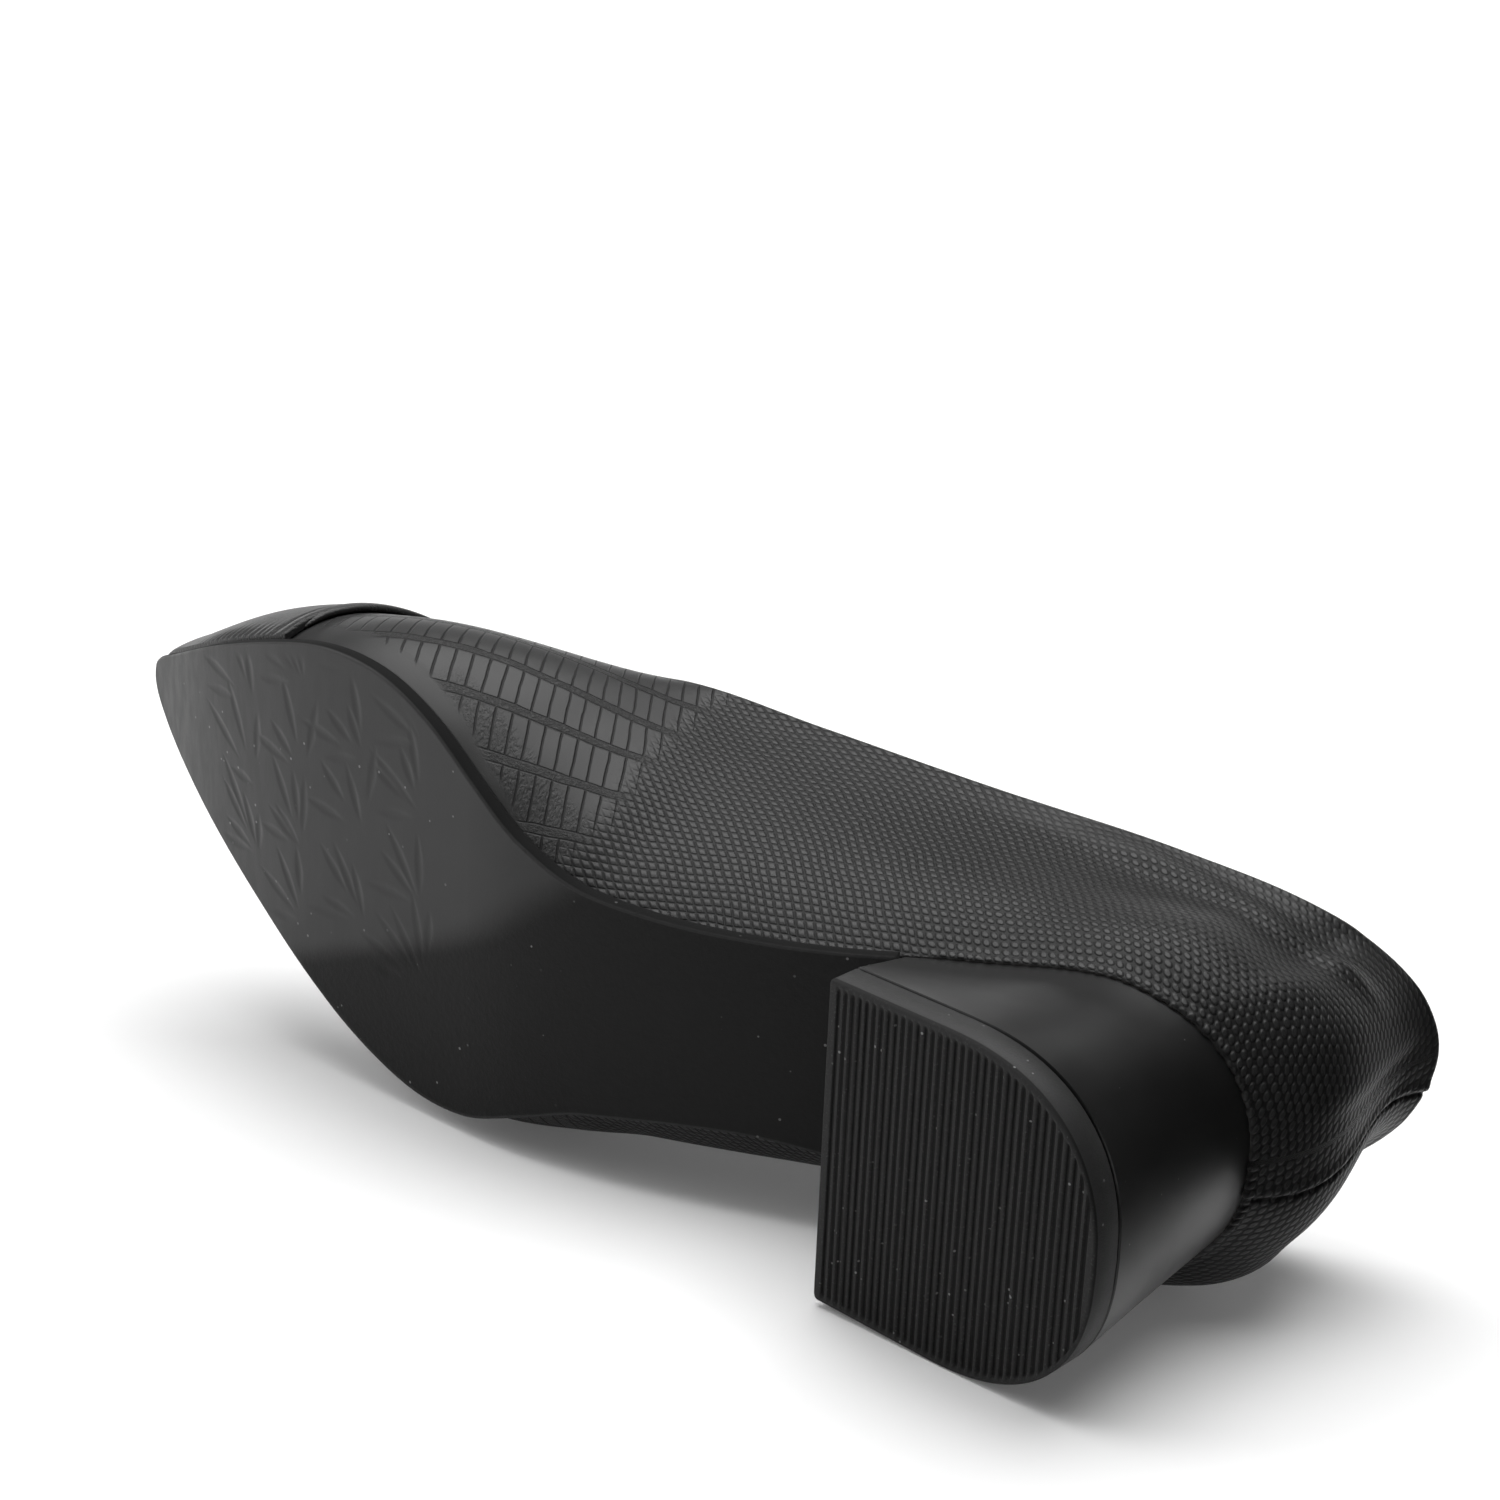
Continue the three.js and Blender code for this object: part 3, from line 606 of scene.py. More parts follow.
def embossed_leather():
    recipe = Recipe("scale_leather", coat=0.06, coat_roughness=0.3, specular=0.35)
    place = recipe.split(recipe.read("leather_place", "Vector"))
    soft = recipe.noise(recipe.vector(place[0], place[1]), 0.12, 2.0)
    along = recipe.math("MULTIPLY_ADD", soft, 0.6, place[0])
    across = recipe.math("MULTIPLY_ADD", recipe.math("SUBTRACT", soft, 0.5), 1.2, place[1])
    beads = bead_relief(recipe, along, across, recipe.read("pebbly"))
    bellies = belly_relief(recipe, along, across, recipe.read("wrinkles"))
    pattern = recipe.blend(recipe.read("belly"), beads, bellies)
    emboss = recipe.read("emboss")
    relief = recipe.blend(emboss, 0.62, pattern)
    grain = recipe.noise(recipe.vector(place[0], place[1]), 4.0, 3.0, 0.6)
    lining = recipe.read("lining")
    normal = recipe.bump(recipe.math("ADD", relief, recipe.math("MULTIPLY", grain, 0.1)), EMBOSS_DEPTH)
    polish = recipe.noise(recipe.vector(place[0], place[1]), 0.05, 3.0)
    top_color = recipe.tint(polish, grey(0.0095), grey(0.017))
    # Painted shade: the grooves get a much darker colour than the tops.
    outside = recipe.tint(recipe.rise(relief, 0.1, 0.7), grey(0.0022), top_color)
    # Painted highlight: small real glue beads by the sole are painted light grey for their glint.
    glue_glint_beads = recipe.rise(recipe.noise(recipe.vector(place[0], place[1]), 1.3, 3.0), 0.52, 0.62)
    outside = recipe.tint(recipe.math("MULTIPLY", glue_glint_beads, recipe.read("glue_glint")), outside, grey(0.3))
    color = recipe.tint(lining, outside, grey(0.045, 0.12))
    dull = recipe.rise(relief, 0.15, 0.75, 0.62, 0.4)
    roughness = recipe.blend(lining, recipe.math("MULTIPLY_ADD", polish, 0.1, dull), 0.75)
    return recipe.finish(color, roughness, normal)


leather_black = embossed_leather()
print("belly scales", SCALE_LENGTH, "by", SCALE_WIDTH, "mm, beads", BEAD_LENGTH, "by", BEAD_WIDTH, "mm")

# %% [markdown]
# The upper is one closed wall. Each spoke runs up the outer face, over the rounded topline and down the
# lining to the sole. A few shapes are too deep for bump and go into the mesh: the soft ridge over the
# stiffened counter, the back seam with its fold, and the scalloped lower edge where the scales stand over
# the heel. The spokes are packed closer at the back seam, where the shape changes quickly.

# %% Make the upper
UPPER_SPOKES = 560
SEAM_SPOKES = 40
UPPER_ROWS = 110
LINING_ROWS = 22
RIM_ROWS = 6
SEAM_WAY = 0.512
SEAM_HALF_WAY = 0.012
RIDGE_WAYS = [0.36, 0.381, 0.403, 0.424, 0.442, 0.47]
RIDGE_REACHES = [0.93, 0.9, 0.867, 0.817, 0.758, 0.74]
RIDGE_HEIGHT = 1.3
SEAM_GROOVE = 0.55
SEAM_FOLD = 0.4
SCALLOP_DEPTH = 0.45
STRIP_PLACES = [122, 132, 150, 190]
STRIP_WIDTHS = [0, 2.5, 4.5, 7]
BELLY_END = (113, 121)
RIDGE_WIDTH = 3.2


def bell(value, width):
    return np.exp(-(value / width) ** 2)


def outer_relief(way, reach, spot, girth, place_along):
    """How far the outer face stands off its section, in millimetres."""
    whole = girth[:, -1:]
    ridge_reach = np.interp(way, RIDGE_WAYS, RIDGE_REACHES)
    fade = smooth_step(0.35, 0.385, way) * (1 - smooth_step(0.45, 0.475, way))
    relief = RIDGE_HEIGHT * fade * bell((reach - ridge_reach) * whole, RIDGE_WIDTH)
    run = np.linalg.norm(np.gradient(spot, way[:, 0], axis=0), axis=-1)
    off_seam = (way - SEAM_WAY) * run
    relief = relief - SEAM_GROOVE * bell(off_seam, 0.45) + SEAM_FOLD * bell(off_seam + 1.3, 1.0)
    scallop = 0.5 + 0.5 * np.cos(2 * math.pi * place_along / BEAD_LENGTH)
    over_heel = (1 - smooth_step(52, 60, spot[..., 0])) * (1 - smooth_step(0.4, 2.4, girth))
    return relief + over_heel * (0.25 + SCALLOP_DEPTH * scallop), over_heel * scallop


def upper_grid():
    way = np.concatenate([
        np.arange(UPPER_SPOKES) / UPPER_SPOKES,
        SEAM_WAY + np.linspace(-1, 1, SEAM_SPOKES) * SEAM_HALF_WAY,
    ])
    way = np.unique(way.round(6))
    ways, reach = np.meshgrid(way, np.linspace(0, 1, UPPER_ROWS), indexing="ij")
    outer = upper_layer(ways, reach, 0 * reach)
    steps = np.linalg.norm(np.diff(outer, axis=1), axis=-1)
    girth = np.concatenate([np.zeros((len(way), 1)), np.cumsum(steps, axis=1)], 1)
    place_along = read_place(PLACE_ALONG, ways, reach)
    relief, drop = outer_relief(ways, reach, outer, girth, place_along)
    outer = outer + upper_normal(ways, reach) * relief[..., None]
    outer[..., 2] -= SCALLOP_DEPTH * drop * (1 - smooth_step(0.0, 1.0, girth))
    return ways, reach, girth, outer


def upper_masks(way, reach, spot, girth):
    """Where each pattern shows: belly scales, depth of emboss, wrinkled scales."""
    x = spot[..., 0]
    strip = np.interp(x, STRIP_PLACES, STRIP_WIDTHS)
    emboss = smooth_step(strip - 0.8, strip + 0.8, girth)
    from_topline = girth[:, -1:] - girth
    near_back = 1 - smooth_step(60, 95, x)
    emboss = emboss * (1 - 0.55 * near_back * (1 - smooth_step(5, 9, from_topline)))
    belly = smooth_step(*BELLY_END, x - 0.35 * np.clip(girth - 14, 0, 40))
    wrinkles = smooth_step(112, 120, x) * (1 - smooth_step(148, 156, x)) * (1 - smooth_step(8, 12, girth))
    pebbly = 1 - smooth_step(45, 75, x)
    on_inside = spot[..., 1] > 0
    # Painted highlight: where the glue beads' glint is painted, low on the inner side by the sole.
    glue_glint = (bell(x - 74, 7) + bell(x - 98, 3)) * (1 - smooth_step(0.2, 0.9, girth)) * on_inside
    return {"belly": belly, "emboss": emboss, "wrinkles": wrinkles, "pebbly": pebbly, "glue_glint": glue_glint}


def upper_ring():
    ways, reach, girth, outer = upper_grid()
    inner_way, inner_reach = np.meshgrid(ways[:, 0], np.linspace(1, 0, LINING_ROWS), indexing="ij")
    inner = upper_layer(inner_way, inner_reach, UPPER_WALL + 0 * inner_reach)
    rise = unit(outer[:, -1] - outer[:, -2]) * UPPER_WALL / 2
    rim = rounded_rim(outer[:, -1], inner[:, 0], rise, RIM_ROWS)
    points = np.concatenate([outer, rim, inner, outer[:, :1]], 1)
    rim_shape = (len(ways), RIM_ROWS)
    all_ways = np.concatenate([ways, np.repeat(ways[:, :1], RIM_ROWS, 1), inner_way, ways[:, :1]], 1)
    all_reach = np.concatenate([reach, np.ones(rim_shape), inner_reach, reach[:, :1]], 1)
    place = [read_place(PLACE_ALONG, all_ways, all_reach), read_place(PLACE_ACROSS, all_ways, all_reach)]
    values = {"leather_place": np.stack([*place, 0 * all_ways], -1).reshape(-1, 3)}
    for name, mask in upper_masks(ways, reach, outer, girth).items():
        inside = np.zeros((len(ways), LINING_ROWS))
        on_rim = np.full(rim_shape, 0.0 if name == "glue_glint" else 0.3)
        values[name] = np.concatenate([mask, on_rim, inside, mask[:, :1]], 1).ravel()
    none = np.zeros((len(ways), 1))
    lining = np.concatenate([0 * reach, np.zeros(rim_shape), np.ones_like(inner_way), none], 1)
    values["lining"] = lining.ravel()
    return points, values


upper_points, upper_values = upper_ring()
upper_grids = [(upper_points, True, False)]
make_piece("upper_leather", upper_grids, leather_black, "upper", upper_values)

# %% [markdown]
# The toe cap is a second skin of smooth leather over the front of the vamp. Its rear edge is folded, so
# it is thick and round and stands proud of the scales. The vamp could be cut with a plane instead, but a
# cut leaves a sharp, uneven edge. Here the reach of that edge is searched for by halving on each spoke,
# which works on any surface that has a function. At the sides a spoke can pass the edge twice, so both
# places are found, and the skin thins to nothing where they meet. Where the cap was pulled over the edge
# of the sole, it keeps small upright creases; they are in the mesh, soft and uneven.

# %% Make the toe cap
CAP_WAYS = 340
CAP_ROWS = 84
CAP_RIM_ROWS = 7
CAP_EDGE_X = SOLE_LENGTH - CAP_LENGTH
CREASE_SPACING = 2.3
CREASE_DEPTH = 0.16
FOLD_HEIGHT = 0.3
FOLD_WIDTH = 1.6


def cross_edge(way, ahead_reach, behind_reach):
    """The reach at which each spoke passes the cap's rear edge, between one ahead of it and one behind."""
    for _ in range(30):
        middle = (ahead_reach + behind_reach) / 2
        ahead = upper_point(way, middle)[..., 0] > CAP_EDGE_X
        ahead_reach = np.where(ahead, middle, ahead_reach)
        behind_reach = np.where(ahead, behind_reach, middle)
    return (ahead_reach + behind_reach) / 2


def furthest_ahead(way):
    """Each spoke's furthest place ahead, and the reach at which it lies there."""
    ways, reaches = np.meshgrid(way, np.linspace(0, 1, 241), indexing="ij")
    x = upper_point(ways, reaches)[..., 0]
    return x.max(axis=1), reaches[0][x.argmax(axis=1)]


def cap_end(end):
    """The last way round, towards the given one, whose spoke still passes under the cap."""
    start = 0.0
    for _ in range(30):
        middle = (start + end) / 2
        if furthest_ahead(np.array([middle]))[0][0] > CAP_EDGE_X:
            start = middle
        else:
            end = middle
    return start


def way_at_x(start, end, x, inset=UPPER_INSET):
    for _ in range(40):
        middle = (start + end) / 2
        if inset_edge(np.array(middle), inset)[0] > x:
            start = middle
        else:
            end = middle
    return (start + end) / 2


def cap_skin():
    turn = np.linspace(-1, 1, CAP_WAYS)
    way = np.where(turn < 0, -cap_end(-0.3), cap_end(0.3)) * np.sin(turn * math.pi / 2)
    taper = np.sqrt(np.clip(14 * (1 - np.abs(turn)), 0, 1))[:, None]
    peak = furthest_ahead(way)[1]
    high = cross_edge(way, peak, np.ones_like(way))
    low = cross_edge(way, peak, np.zeros_like(way))
    low = np.where(inset_edge(way, UPPER_INSET + 0 * way)[:, 0] > CAP_EDGE_X, 0, low)
    ways, shares = np.meshgrid(way, np.linspace(0, 1, CAP_ROWS), indexing="ij")
    reach = low[:, None] + shares * (high - low)[:, None]
    plain = upper_layer(ways, reach, 0 * reach)
    to_edge = plain[..., 0] - CAP_EDGE_X
    steps = np.linalg.norm(np.diff(plain[:, 0], axis=0, prepend=plain[:1, 0]), axis=-1)
    walked = np.cumsum(steps)[:, None]
    over_sole = plain[..., 2] - seat_height(plain[..., 0])
    wander = 0.8 * np.sin(walked / 3.1) + 0.5 * np.sin(walked / 1.9 + 1.0)
    strength = 0.5 + 0.5 * np.sin(walked / 7.3)
    creases = CREASE_DEPTH * strength * np.cos(2 * math.pi * walked / CREASE_SPACING + wander)
    creases = creases * (1 - smooth_step(1.0, 6.0, over_sole))
    fold = FOLD_HEIGHT * bell(to_edge - FOLD_WIDTH, FOLD_WIDTH)
    fold = fold - 0.25 * bell(to_edge - 4.2, 0.7)
    outer = upper_layer(ways, reach, -CLEARANCE - (CAP_THICKNESS + fold + creases) * taper)
    inner = upper_layer(ways, reach, -CLEARANCE + 0 * reach)[:, ::-1]
    thickness = np.linalg.norm(outer[:, -1] - inner[:, 0], axis=-1, keepdims=True)
    rim = rounded_rim(outer[:, -1], inner[:, 0], np.array([-1.0, 0, 0]) * thickness / 2, CAP_RIM_ROWS)
    return np.concatenate([outer, rim, inner, outer[:, :1]], 1)


def smooth_leather():
    recipe = Recipe("cap_leather", coat=0.08, coat_roughness=0.25, specular=0.4)
    place = recipe.object_place()
    pores = recipe.cells(place, 1400.0)
    grain = recipe.noise(place, 900.0, 4.0, 0.6)
    relief = recipe.math("ADD", recipe.rise(pores, 0.1, 0.5), recipe.math("MULTIPLY", grain, 0.8))
    patches = recipe.noise(place, 45.0, 4.0)
    worn = recipe.dust(place, 260.0, (0.07, 0.05), 30.0, (0.55, 0.65))
    color = recipe.tint(worn, recipe.tint(patches, grey(0.009), grey(0.016)), grey(0.12))
    roughness = recipe.rise(patches, 0.3, 0.7, 0.42, 0.52)
    return recipe.finish(color, roughness, recipe.bump(relief, 0.05))


cap_black = smooth_leather()
cap_grids = [(cap_skin(), False, False)]
make_piece("cap_skin", cap_grids, cap_black, "toe_cap", sharp_deg=60)

# %% [markdown]
# The outsole is one thin plate with the shoe's footprint, curved up through the shank. It ends at the
# heel's breast, as the CAD does. Pressed into the forefoot are slender blades in loose clusters, a plain
# decoration of this lesson's own layout. Each blade is a shallow lens shape sunk into the mesh. A
# displacement image would do the same, but a small function of length and width keeps every blade
# editable.

# %% Make the outsole
SOLE_WAYS = 470
SOLE_COLUMNS = 172
BREAST_LEAN = 10.0
LIFT_WIDTH = 57.8
LIFT_DEPTH = 54.0
LIFT_THICKNESS = 6.0
LIFT_ROUND_DEPTH = 31.0
LIFT_OVERHANG = 4.0
LIFT_ROUND_POWER = 2.4
BREAST_X = LIFT_DEPTH - LIFT_OVERHANG
BREAST_FOOT = LIFT_THICKNESS + CLEARANCE
BREAST_TOP = float(sole_height(BREAST_X + BREAST_LEAN)) + SOLE_THICKNESS
BLADE_DEPTH = 0.13
BLADE_WIDTH = 1.15
TUFT_LEAN = 0.8
TUFT_ROWS = 4
TUFT_STEP_AHEAD = 17.0
TUFT_STEP_ACROSS = 16.0


def breast_at(height):
    return BREAST_X + BREAST_LEAN * (height - BREAST_FOOT) / (BREAST_TOP - BREAST_FOOT)


def sole_end(lift, inset):
    """Ways round at which the sole ends at the breast, on the inner and on the outer side."""
    end = breast_at(sole_height(BREAST_X + BREAST_LEAN) + lift) + CLEARANCE
    return way_at_x(0.25, 0.5, end, inset), way_at_x(-0.25, -0.5, end, inset)


def plate_grid(ways, columns, inset, height, ends=(0.5, -0.5)):
    share = np.linspace(0, 1, ways)
    left = inset_edge(share * ends[0], inset + 0 * share)
    right = inset_edge(share * ends[1], inset + 0 * share)
    across = np.linspace(0, 1, columns)[None, :, None]
    flat = left[:, None] * (1 - across) + right[:, None] * across
    return np.concatenate([flat, height(flat[..., 0])[..., None]], -1)


def ring_of(grid):
    """The grid's border as one walk: down the left side, back up the right."""
    return np.concatenate([grid[:, 0], grid[::-1, -1]])


def blades():
    """Foot, direction and length of each pressed blade: tufts that fan out towards the toe."""
    chance = np.random.default_rng(11)
    rows = []
    for row in range(TUFT_ROWS):
        for column in range(4):
            foot_x = 148 + row * TUFT_STEP_AHEAD + chance.uniform(-1.5, 1.5)
            foot_y = -8 + (column + 0.5 * (row % 2)) * TUFT_STEP_ACROSS + chance.uniform(-1.5, 1.5)
            lean = TUFT_LEAN + chance.uniform(-0.2, 0.2)
            for turn in np.linspace(-0.8, 0.8, chance.integers(4, 7)):
                aside = turn + chance.uniform(-0.15, 0.15)
                start = chance.uniform(0.5, 7.0)
                length = chance.uniform(9.0, 17.0) * math.cos(0.6 * aside)
                foot = (foot_x + start * math.cos(lean + aside), foot_y + start * math.sin(lean + aside))
                rows.append((*foot, lean + aside, length))
    return rows


def blade_relief(x, y):
    """Depth of the pressed blades: soft lenses, deepest along their middle."""
    depth = np.zeros_like(x)
    for foot_x, foot_y, angle, length in blades():
        along = (x - foot_x) * math.cos(angle) + (y - foot_y) * math.sin(angle)
        aside = -(x - foot_x) * math.sin(angle) + (y - foot_y) * math.cos(angle)
        bowed = aside - 0.05 * along * (1 - along / length)
        share = np.clip(along / length, 0, 1)
        width = np.maximum(BLADE_WIDTH * np.sin(math.pi * share), 0.05)
        pressed = np.clip(1 - (bowed / width) ** 2, 0, 1) * np.sin(math.pi * share)
        depth = np.maximum(depth, pressed)
    return BLADE_DEPTH * depth


def ball_and_sheen_share(x, y):
    """1 where the forefoot is polished and painted lighter, partly its own tone and partly painted
    reflection; 0 on the matt shank behind it.
    """
    ahead = ((x - 186) * 42 + (y + 13) * 79) / 89.5 + 5.0 * bell((y - 5), 14.0)
    return smooth_step(-5, 2, ahead)


def sole_piece(insets, lifts):
    walls = []
    for inset, lift in zip(insets, lifts):
        ends = sole_end(lift, inset)
        plate = plate_grid(SOLE_WAYS, 2, inset, lambda x: sole_height(x) + lift, ends)
        walls.append(ring_of(plate))
    wall = np.stack(walls, 1)
    ends = sole_end(lifts[0], insets[0])
    bottom = plate_grid(SOLE_WAYS, SOLE_COLUMNS, insets[0], lambda x: sole_height(x) + lifts[0], ends)
    x, y = bottom[..., 0], bottom[..., 1]
    inside = np.minimum(np.linspace(0, 1, SOLE_COLUMNS), np.linspace(1, 0, SOLE_COLUMNS))[None]
    bottom[..., 2] += blade_relief(x, y) * smooth_step(0.02, 0.08, inside)
    ends = sole_end(lifts[-1], insets[-1])
    top = plate_grid(SOLE_WAYS, 4, insets[-1], lambda x: sole_height(x) + lifts[-1], ends)
    grids = [(wall, True, False), (bottom, False, False), (top, False, True)]
    points = np.concatenate([grid.reshape(-1, 3) for grid, _, _ in grids])
    at_corner = np.tile(np.array(lifts) < 0.3, len(wall)).astype(float)
    elsewhere = np.zeros(bottom[..., 0].size + top[..., 0].size)
    values = {
        "ball_and_sheen": ball_and_sheen_share(points[:, 0], points[:, 1]),
        "rim": np.concatenate([at_corner, elsewhere]),
        "wall": np.concatenate([1 - at_corner, elsewhere]),
        "standing": points.copy(),
    }
    make_piece("sole_plate", grids, sole_black, "outsole", values)


def sole_leather():
    recipe = Recipe("sole_leather", specular=0.2)
    place = recipe.read("standing", "Vector")
    ball_and_sheen = recipe.read("ball_and_sheen")
    rim = recipe.read("rim")
    wall = recipe.read("wall")
    grain = recipe.noise(place, 2.2, 4.0, 0.65)
    streaks = recipe.split(place)
    rubbed = recipe.noise(recipe.vector(streaks[0], recipe.math("MULTIPLY", streaks[1], 0.25)), 0.5, 4.0)
    creases = recipe.cells(place, 0.9)
    relief = recipe.blend(ball_and_sheen, recipe.math("ADD", grain, recipe.math("MULTIPLY", creases, 0.5)),
                          recipe.math("MULTIPLY", grain, 0.25))
    worn = recipe.dust(place, 0.28, (0.09, 0.06), 0.06, (0.45, 0.6))
    # Painted reflection: the forefoot is painted much lighter than the shank, partly its own tone and partly
    # its sheen.
    base = recipe.tint(ball_and_sheen, grey(0.0015), grey(0.024))
    rub_marks = recipe.math("MULTIPLY", recipe.rise(rubbed, 0.45, 0.75, 0.0, 0.3), ball_and_sheen)
    base = recipe.tint(rub_marks, base, grey(0.03))
    # Painted highlight: a thin line along the sole's corner rim is painted lighter.
    base = recipe.tint(recipe.math("MULTIPLY", rim, 0.5), base, grey(0.035))
    base = recipe.tint(wall, base, grey(0.002))
    color = recipe.tint(worn, base, grey(0.14))
    polished = recipe.blend(ball_and_sheen, 0.6, recipe.rise(rubbed, 0.3, 0.7, 0.3, 0.42))
    roughness = recipe.blend(wall, polished, 0.85)
    return recipe.finish(color, roughness, recipe.bump(relief, 0.07))


sole_black = sole_leather()
sole_piece([0.5, 0.15, 0.0, 0.0, 0.15, 0.5], [0, 0.12, 0.45, 2.55, 2.88, 3.0])
print("blades pressed into the forefoot:", len(blades()))

# %% [markdown]
# The insole is the footbed seen through the collar: a thin padded sock in dark leather. In the real shoe
# it is glued down, so it follows the sole. A plane with a solidify modifier would give the same body.
# Here it is the sole's own outline again, further in and higher, so it fits inside the lining without any
# trimming.

# %% Make the insole
INSOLE_WAYS = 220
INSOLE_INSET = UPPER_INSET + UPPER_WALL + CLEARANCE


def sock_leather():
    recipe = Recipe("insole_leather", roughness=0.7, specular=0.35)
    place = recipe.object_place()
    grain = recipe.cells(place, 1100.0)
    rubbed = recipe.noise(place, 25.0, 4.0)
    color = recipe.tint(rubbed, grey(0.03, 0.12), grey(0.048, 0.12))
    roughness = recipe.rise(rubbed, 0.3, 0.7, 0.6, 0.78)
    return recipe.finish(color, roughness, recipe.bump(grain, 0.06))


def insole_piece():
    insets = [INSOLE_INSET, INSOLE_INSET - 0.4, INSOLE_INSET - 0.25]
    lifts = [0, 1.1, INSOLE_THICKNESS]
    walls = [ring_of(plate_grid(INSOLE_WAYS, 2, inset, lambda x: seat_height(x) + lift))
             for inset, lift in zip(insets, lifts)]
    bottom = plate_grid(INSOLE_WAYS, 6, insets[0], seat_height)
    top = plate_grid(INSOLE_WAYS, 60, insets[-1], lambda x: seat_height(x) + lifts[-1])
    grids = [(np.stack(walls, 1), True, False), (bottom, False, False), (top, False, True)]
    make_piece("insole_sock", grids, lining_taupe, "insole")


lining_taupe = sock_leather()
insole_piece()
print("insole", INSOLE_INSET, "mm inside the sole's edge")

# %% [markdown]
# The heel is a block: a D-shaped foot, a seat with the shoe's own outline and a flat breast that leans
# forward. It carries a satin lacquer. Its edges are not knife sharp, so the breast's corners are rounded
# by a small arc in the outline itself, and the lacquer's shine then catches on them. A bevel modifier
# would do this on a simple block, but here the rings run from foot to seat and an arc in each ring keeps
# them even.

# %% Make the heel
HEEL_STEPS = 200
HEEL_LEVELS = 46
CORNER_RADIUS = 0.9
CORNER_STEPS = 6
SEAT_WAYS = (way_at_x(0.25, 0.5, BREAST_X + BREAST_LEAN), way_at_x(-0.25, -0.5, BREAST_X + BREAST_LEAN) + 1)


def lift_outline(share, inset=0.0):
    straight = LIFT_DEPTH - LIFT_ROUND_DEPTH
    half = LIFT_WIDTH / 2
    round_length = math.pi * (half + LIFT_ROUND_DEPTH) / 2
    whole = 2 * straight + round_length
    walked = share * whole
    angle = np.clip(math.pi * (walked - straight) / round_length, 0, math.pi)
    power = 2 / LIFT_ROUND_POWER
    back = np.sin(angle) ** power * (LIFT_ROUND_DEPTH - inset)
    side = np.sign(np.cos(angle)) * np.abs(np.cos(angle)) ** power * (half - inset)
    x = BREAST_X - np.minimum(np.minimum(walked, whole - walked), straight) - back
    x = np.minimum(x, BREAST_X - inset)
    return np.stack([x, side], -1)


def round_corners(ring, radius):
    """Replace the first and last corner of an open ring by small arcs."""
    t = np.linspace(0, 1, CORNER_STEPS)[:, None]

    def arc(corner, before, after):
        start = corner + unit(before - corner) * radius
        end = corner + unit(after - corner) * radius
        return start * (1 - t) ** 2 + 2 * corner * t * (1 - t) + end * t**2

    first = arc(ring[0], ring[-1], ring[3])
    last = arc(ring[-1], ring[-4], ring[0])
    walked = np.linalg.norm(ring - ring[0], axis=-1)
    back = np.linalg.norm(ring - ring[-1], axis=-1)
    kept = ring[(walked > radius * 1.2) & (back > radius * 1.2)]
    return np.concatenate([first, kept, last])


def even_ring(ring, count):
    """The same ring with its points spread evenly between the corner arcs."""
    body = ring[CORNER_STEPS - 1:len(ring) - CORNER_STEPS + 1]
    walked = np.concatenate([[0], np.cumsum(np.linalg.norm(np.diff(body, axis=0), axis=-1))])
    at = np.linspace(0, walked[-1], count)
    even = np.stack([np.interp(at, walked, body[:, k]) for k in range(3)], -1)
    return np.concatenate([ring[:CORNER_STEPS - 1], even, ring[len(ring) - CORNER_STEPS + 1:]])


def cover(ring, columns):
    """Flat cover over a ring: straight lines between its two sides."""
    half = len(ring) // 2
    left, right = ring[:half], ring[::-1][:half]
    share = np.linspace(0, 1, columns)[None, :, None]
    return left[:, None] * (1 - share) + right[:, None] * share


def lift_ring(height, inset, radius=CORNER_RADIUS):
    share = np.linspace(0, 1, HEEL_STEPS + 1)
    flat = lift_outline(share, inset)
    ring = np.concatenate([flat, np.full((len(share), 1), height)], -1)
    return even_ring(round_corners(ring, radius), HEEL_STEPS)


def seat_ring(inset, drop):
    share = np.linspace(0, 1, HEEL_STEPS + 1)
    way = SEAT_WAYS[0] + share * (SEAT_WAYS[1] - SEAT_WAYS[0])
    flat = inset_edge(way, UPPER_INSET + inset + 0 * way)
    ring = np.concatenate([flat, (sole_height(flat[:, 0]) + SOLE_THICKNESS - drop)[:, None]], -1)
    return even_ring(round_corners(ring, CORNER_RADIUS), HEEL_STEPS)


def satin_lacquer():
    recipe = Recipe("heel_lacquer", coat=0.12, coat_roughness=0.24, specular=0.4)
    place = recipe.object_place()
    waves = recipe.noise(place, 60.0, 2.0)
    pores = recipe.noise(place, 2200.0, 2.0)
    worn = recipe.dust(place, 320.0, (0.05, 0.035), 40.0, (0.5, 0.62))
    color = recipe.tint(worn, recipe.tint(waves, grey(0.0035), grey(0.006)), grey(0.12))
    roughness = recipe.rise(waves, 0.3, 0.7, 0.3, 0.38)
    relief = recipe.math("ADD", waves, recipe.math("MULTIPLY", pores, 0.1))
    return recipe.finish(color, roughness, recipe.bump(relief, 0.05))


def heel_piece():
    foot = lift_ring(BREAST_FOOT + 0.25, 0.0)
    seat = seat_ring(0.0, 0.2)
    share = np.linspace(0, 1, HEEL_LEVELS)[None, :, None]
    body = foot[:, None] * (1 - share) + seat[:, None] * share
    low = lift_ring(BREAST_FOOT, 0.3)
    high = seat_ring(0.25, 0.0)
    wall = np.concatenate([low[:, None], body, high[:, None]], 1)
    grids = [(wall, True, False), (cover(low, 24), False, False), (cover(high, 24), False, True)]
    make_piece("heel_block", grids, heel_black, "heel", sharp_deg=50)


heel_black = satin_lacquer()
heel_piece()

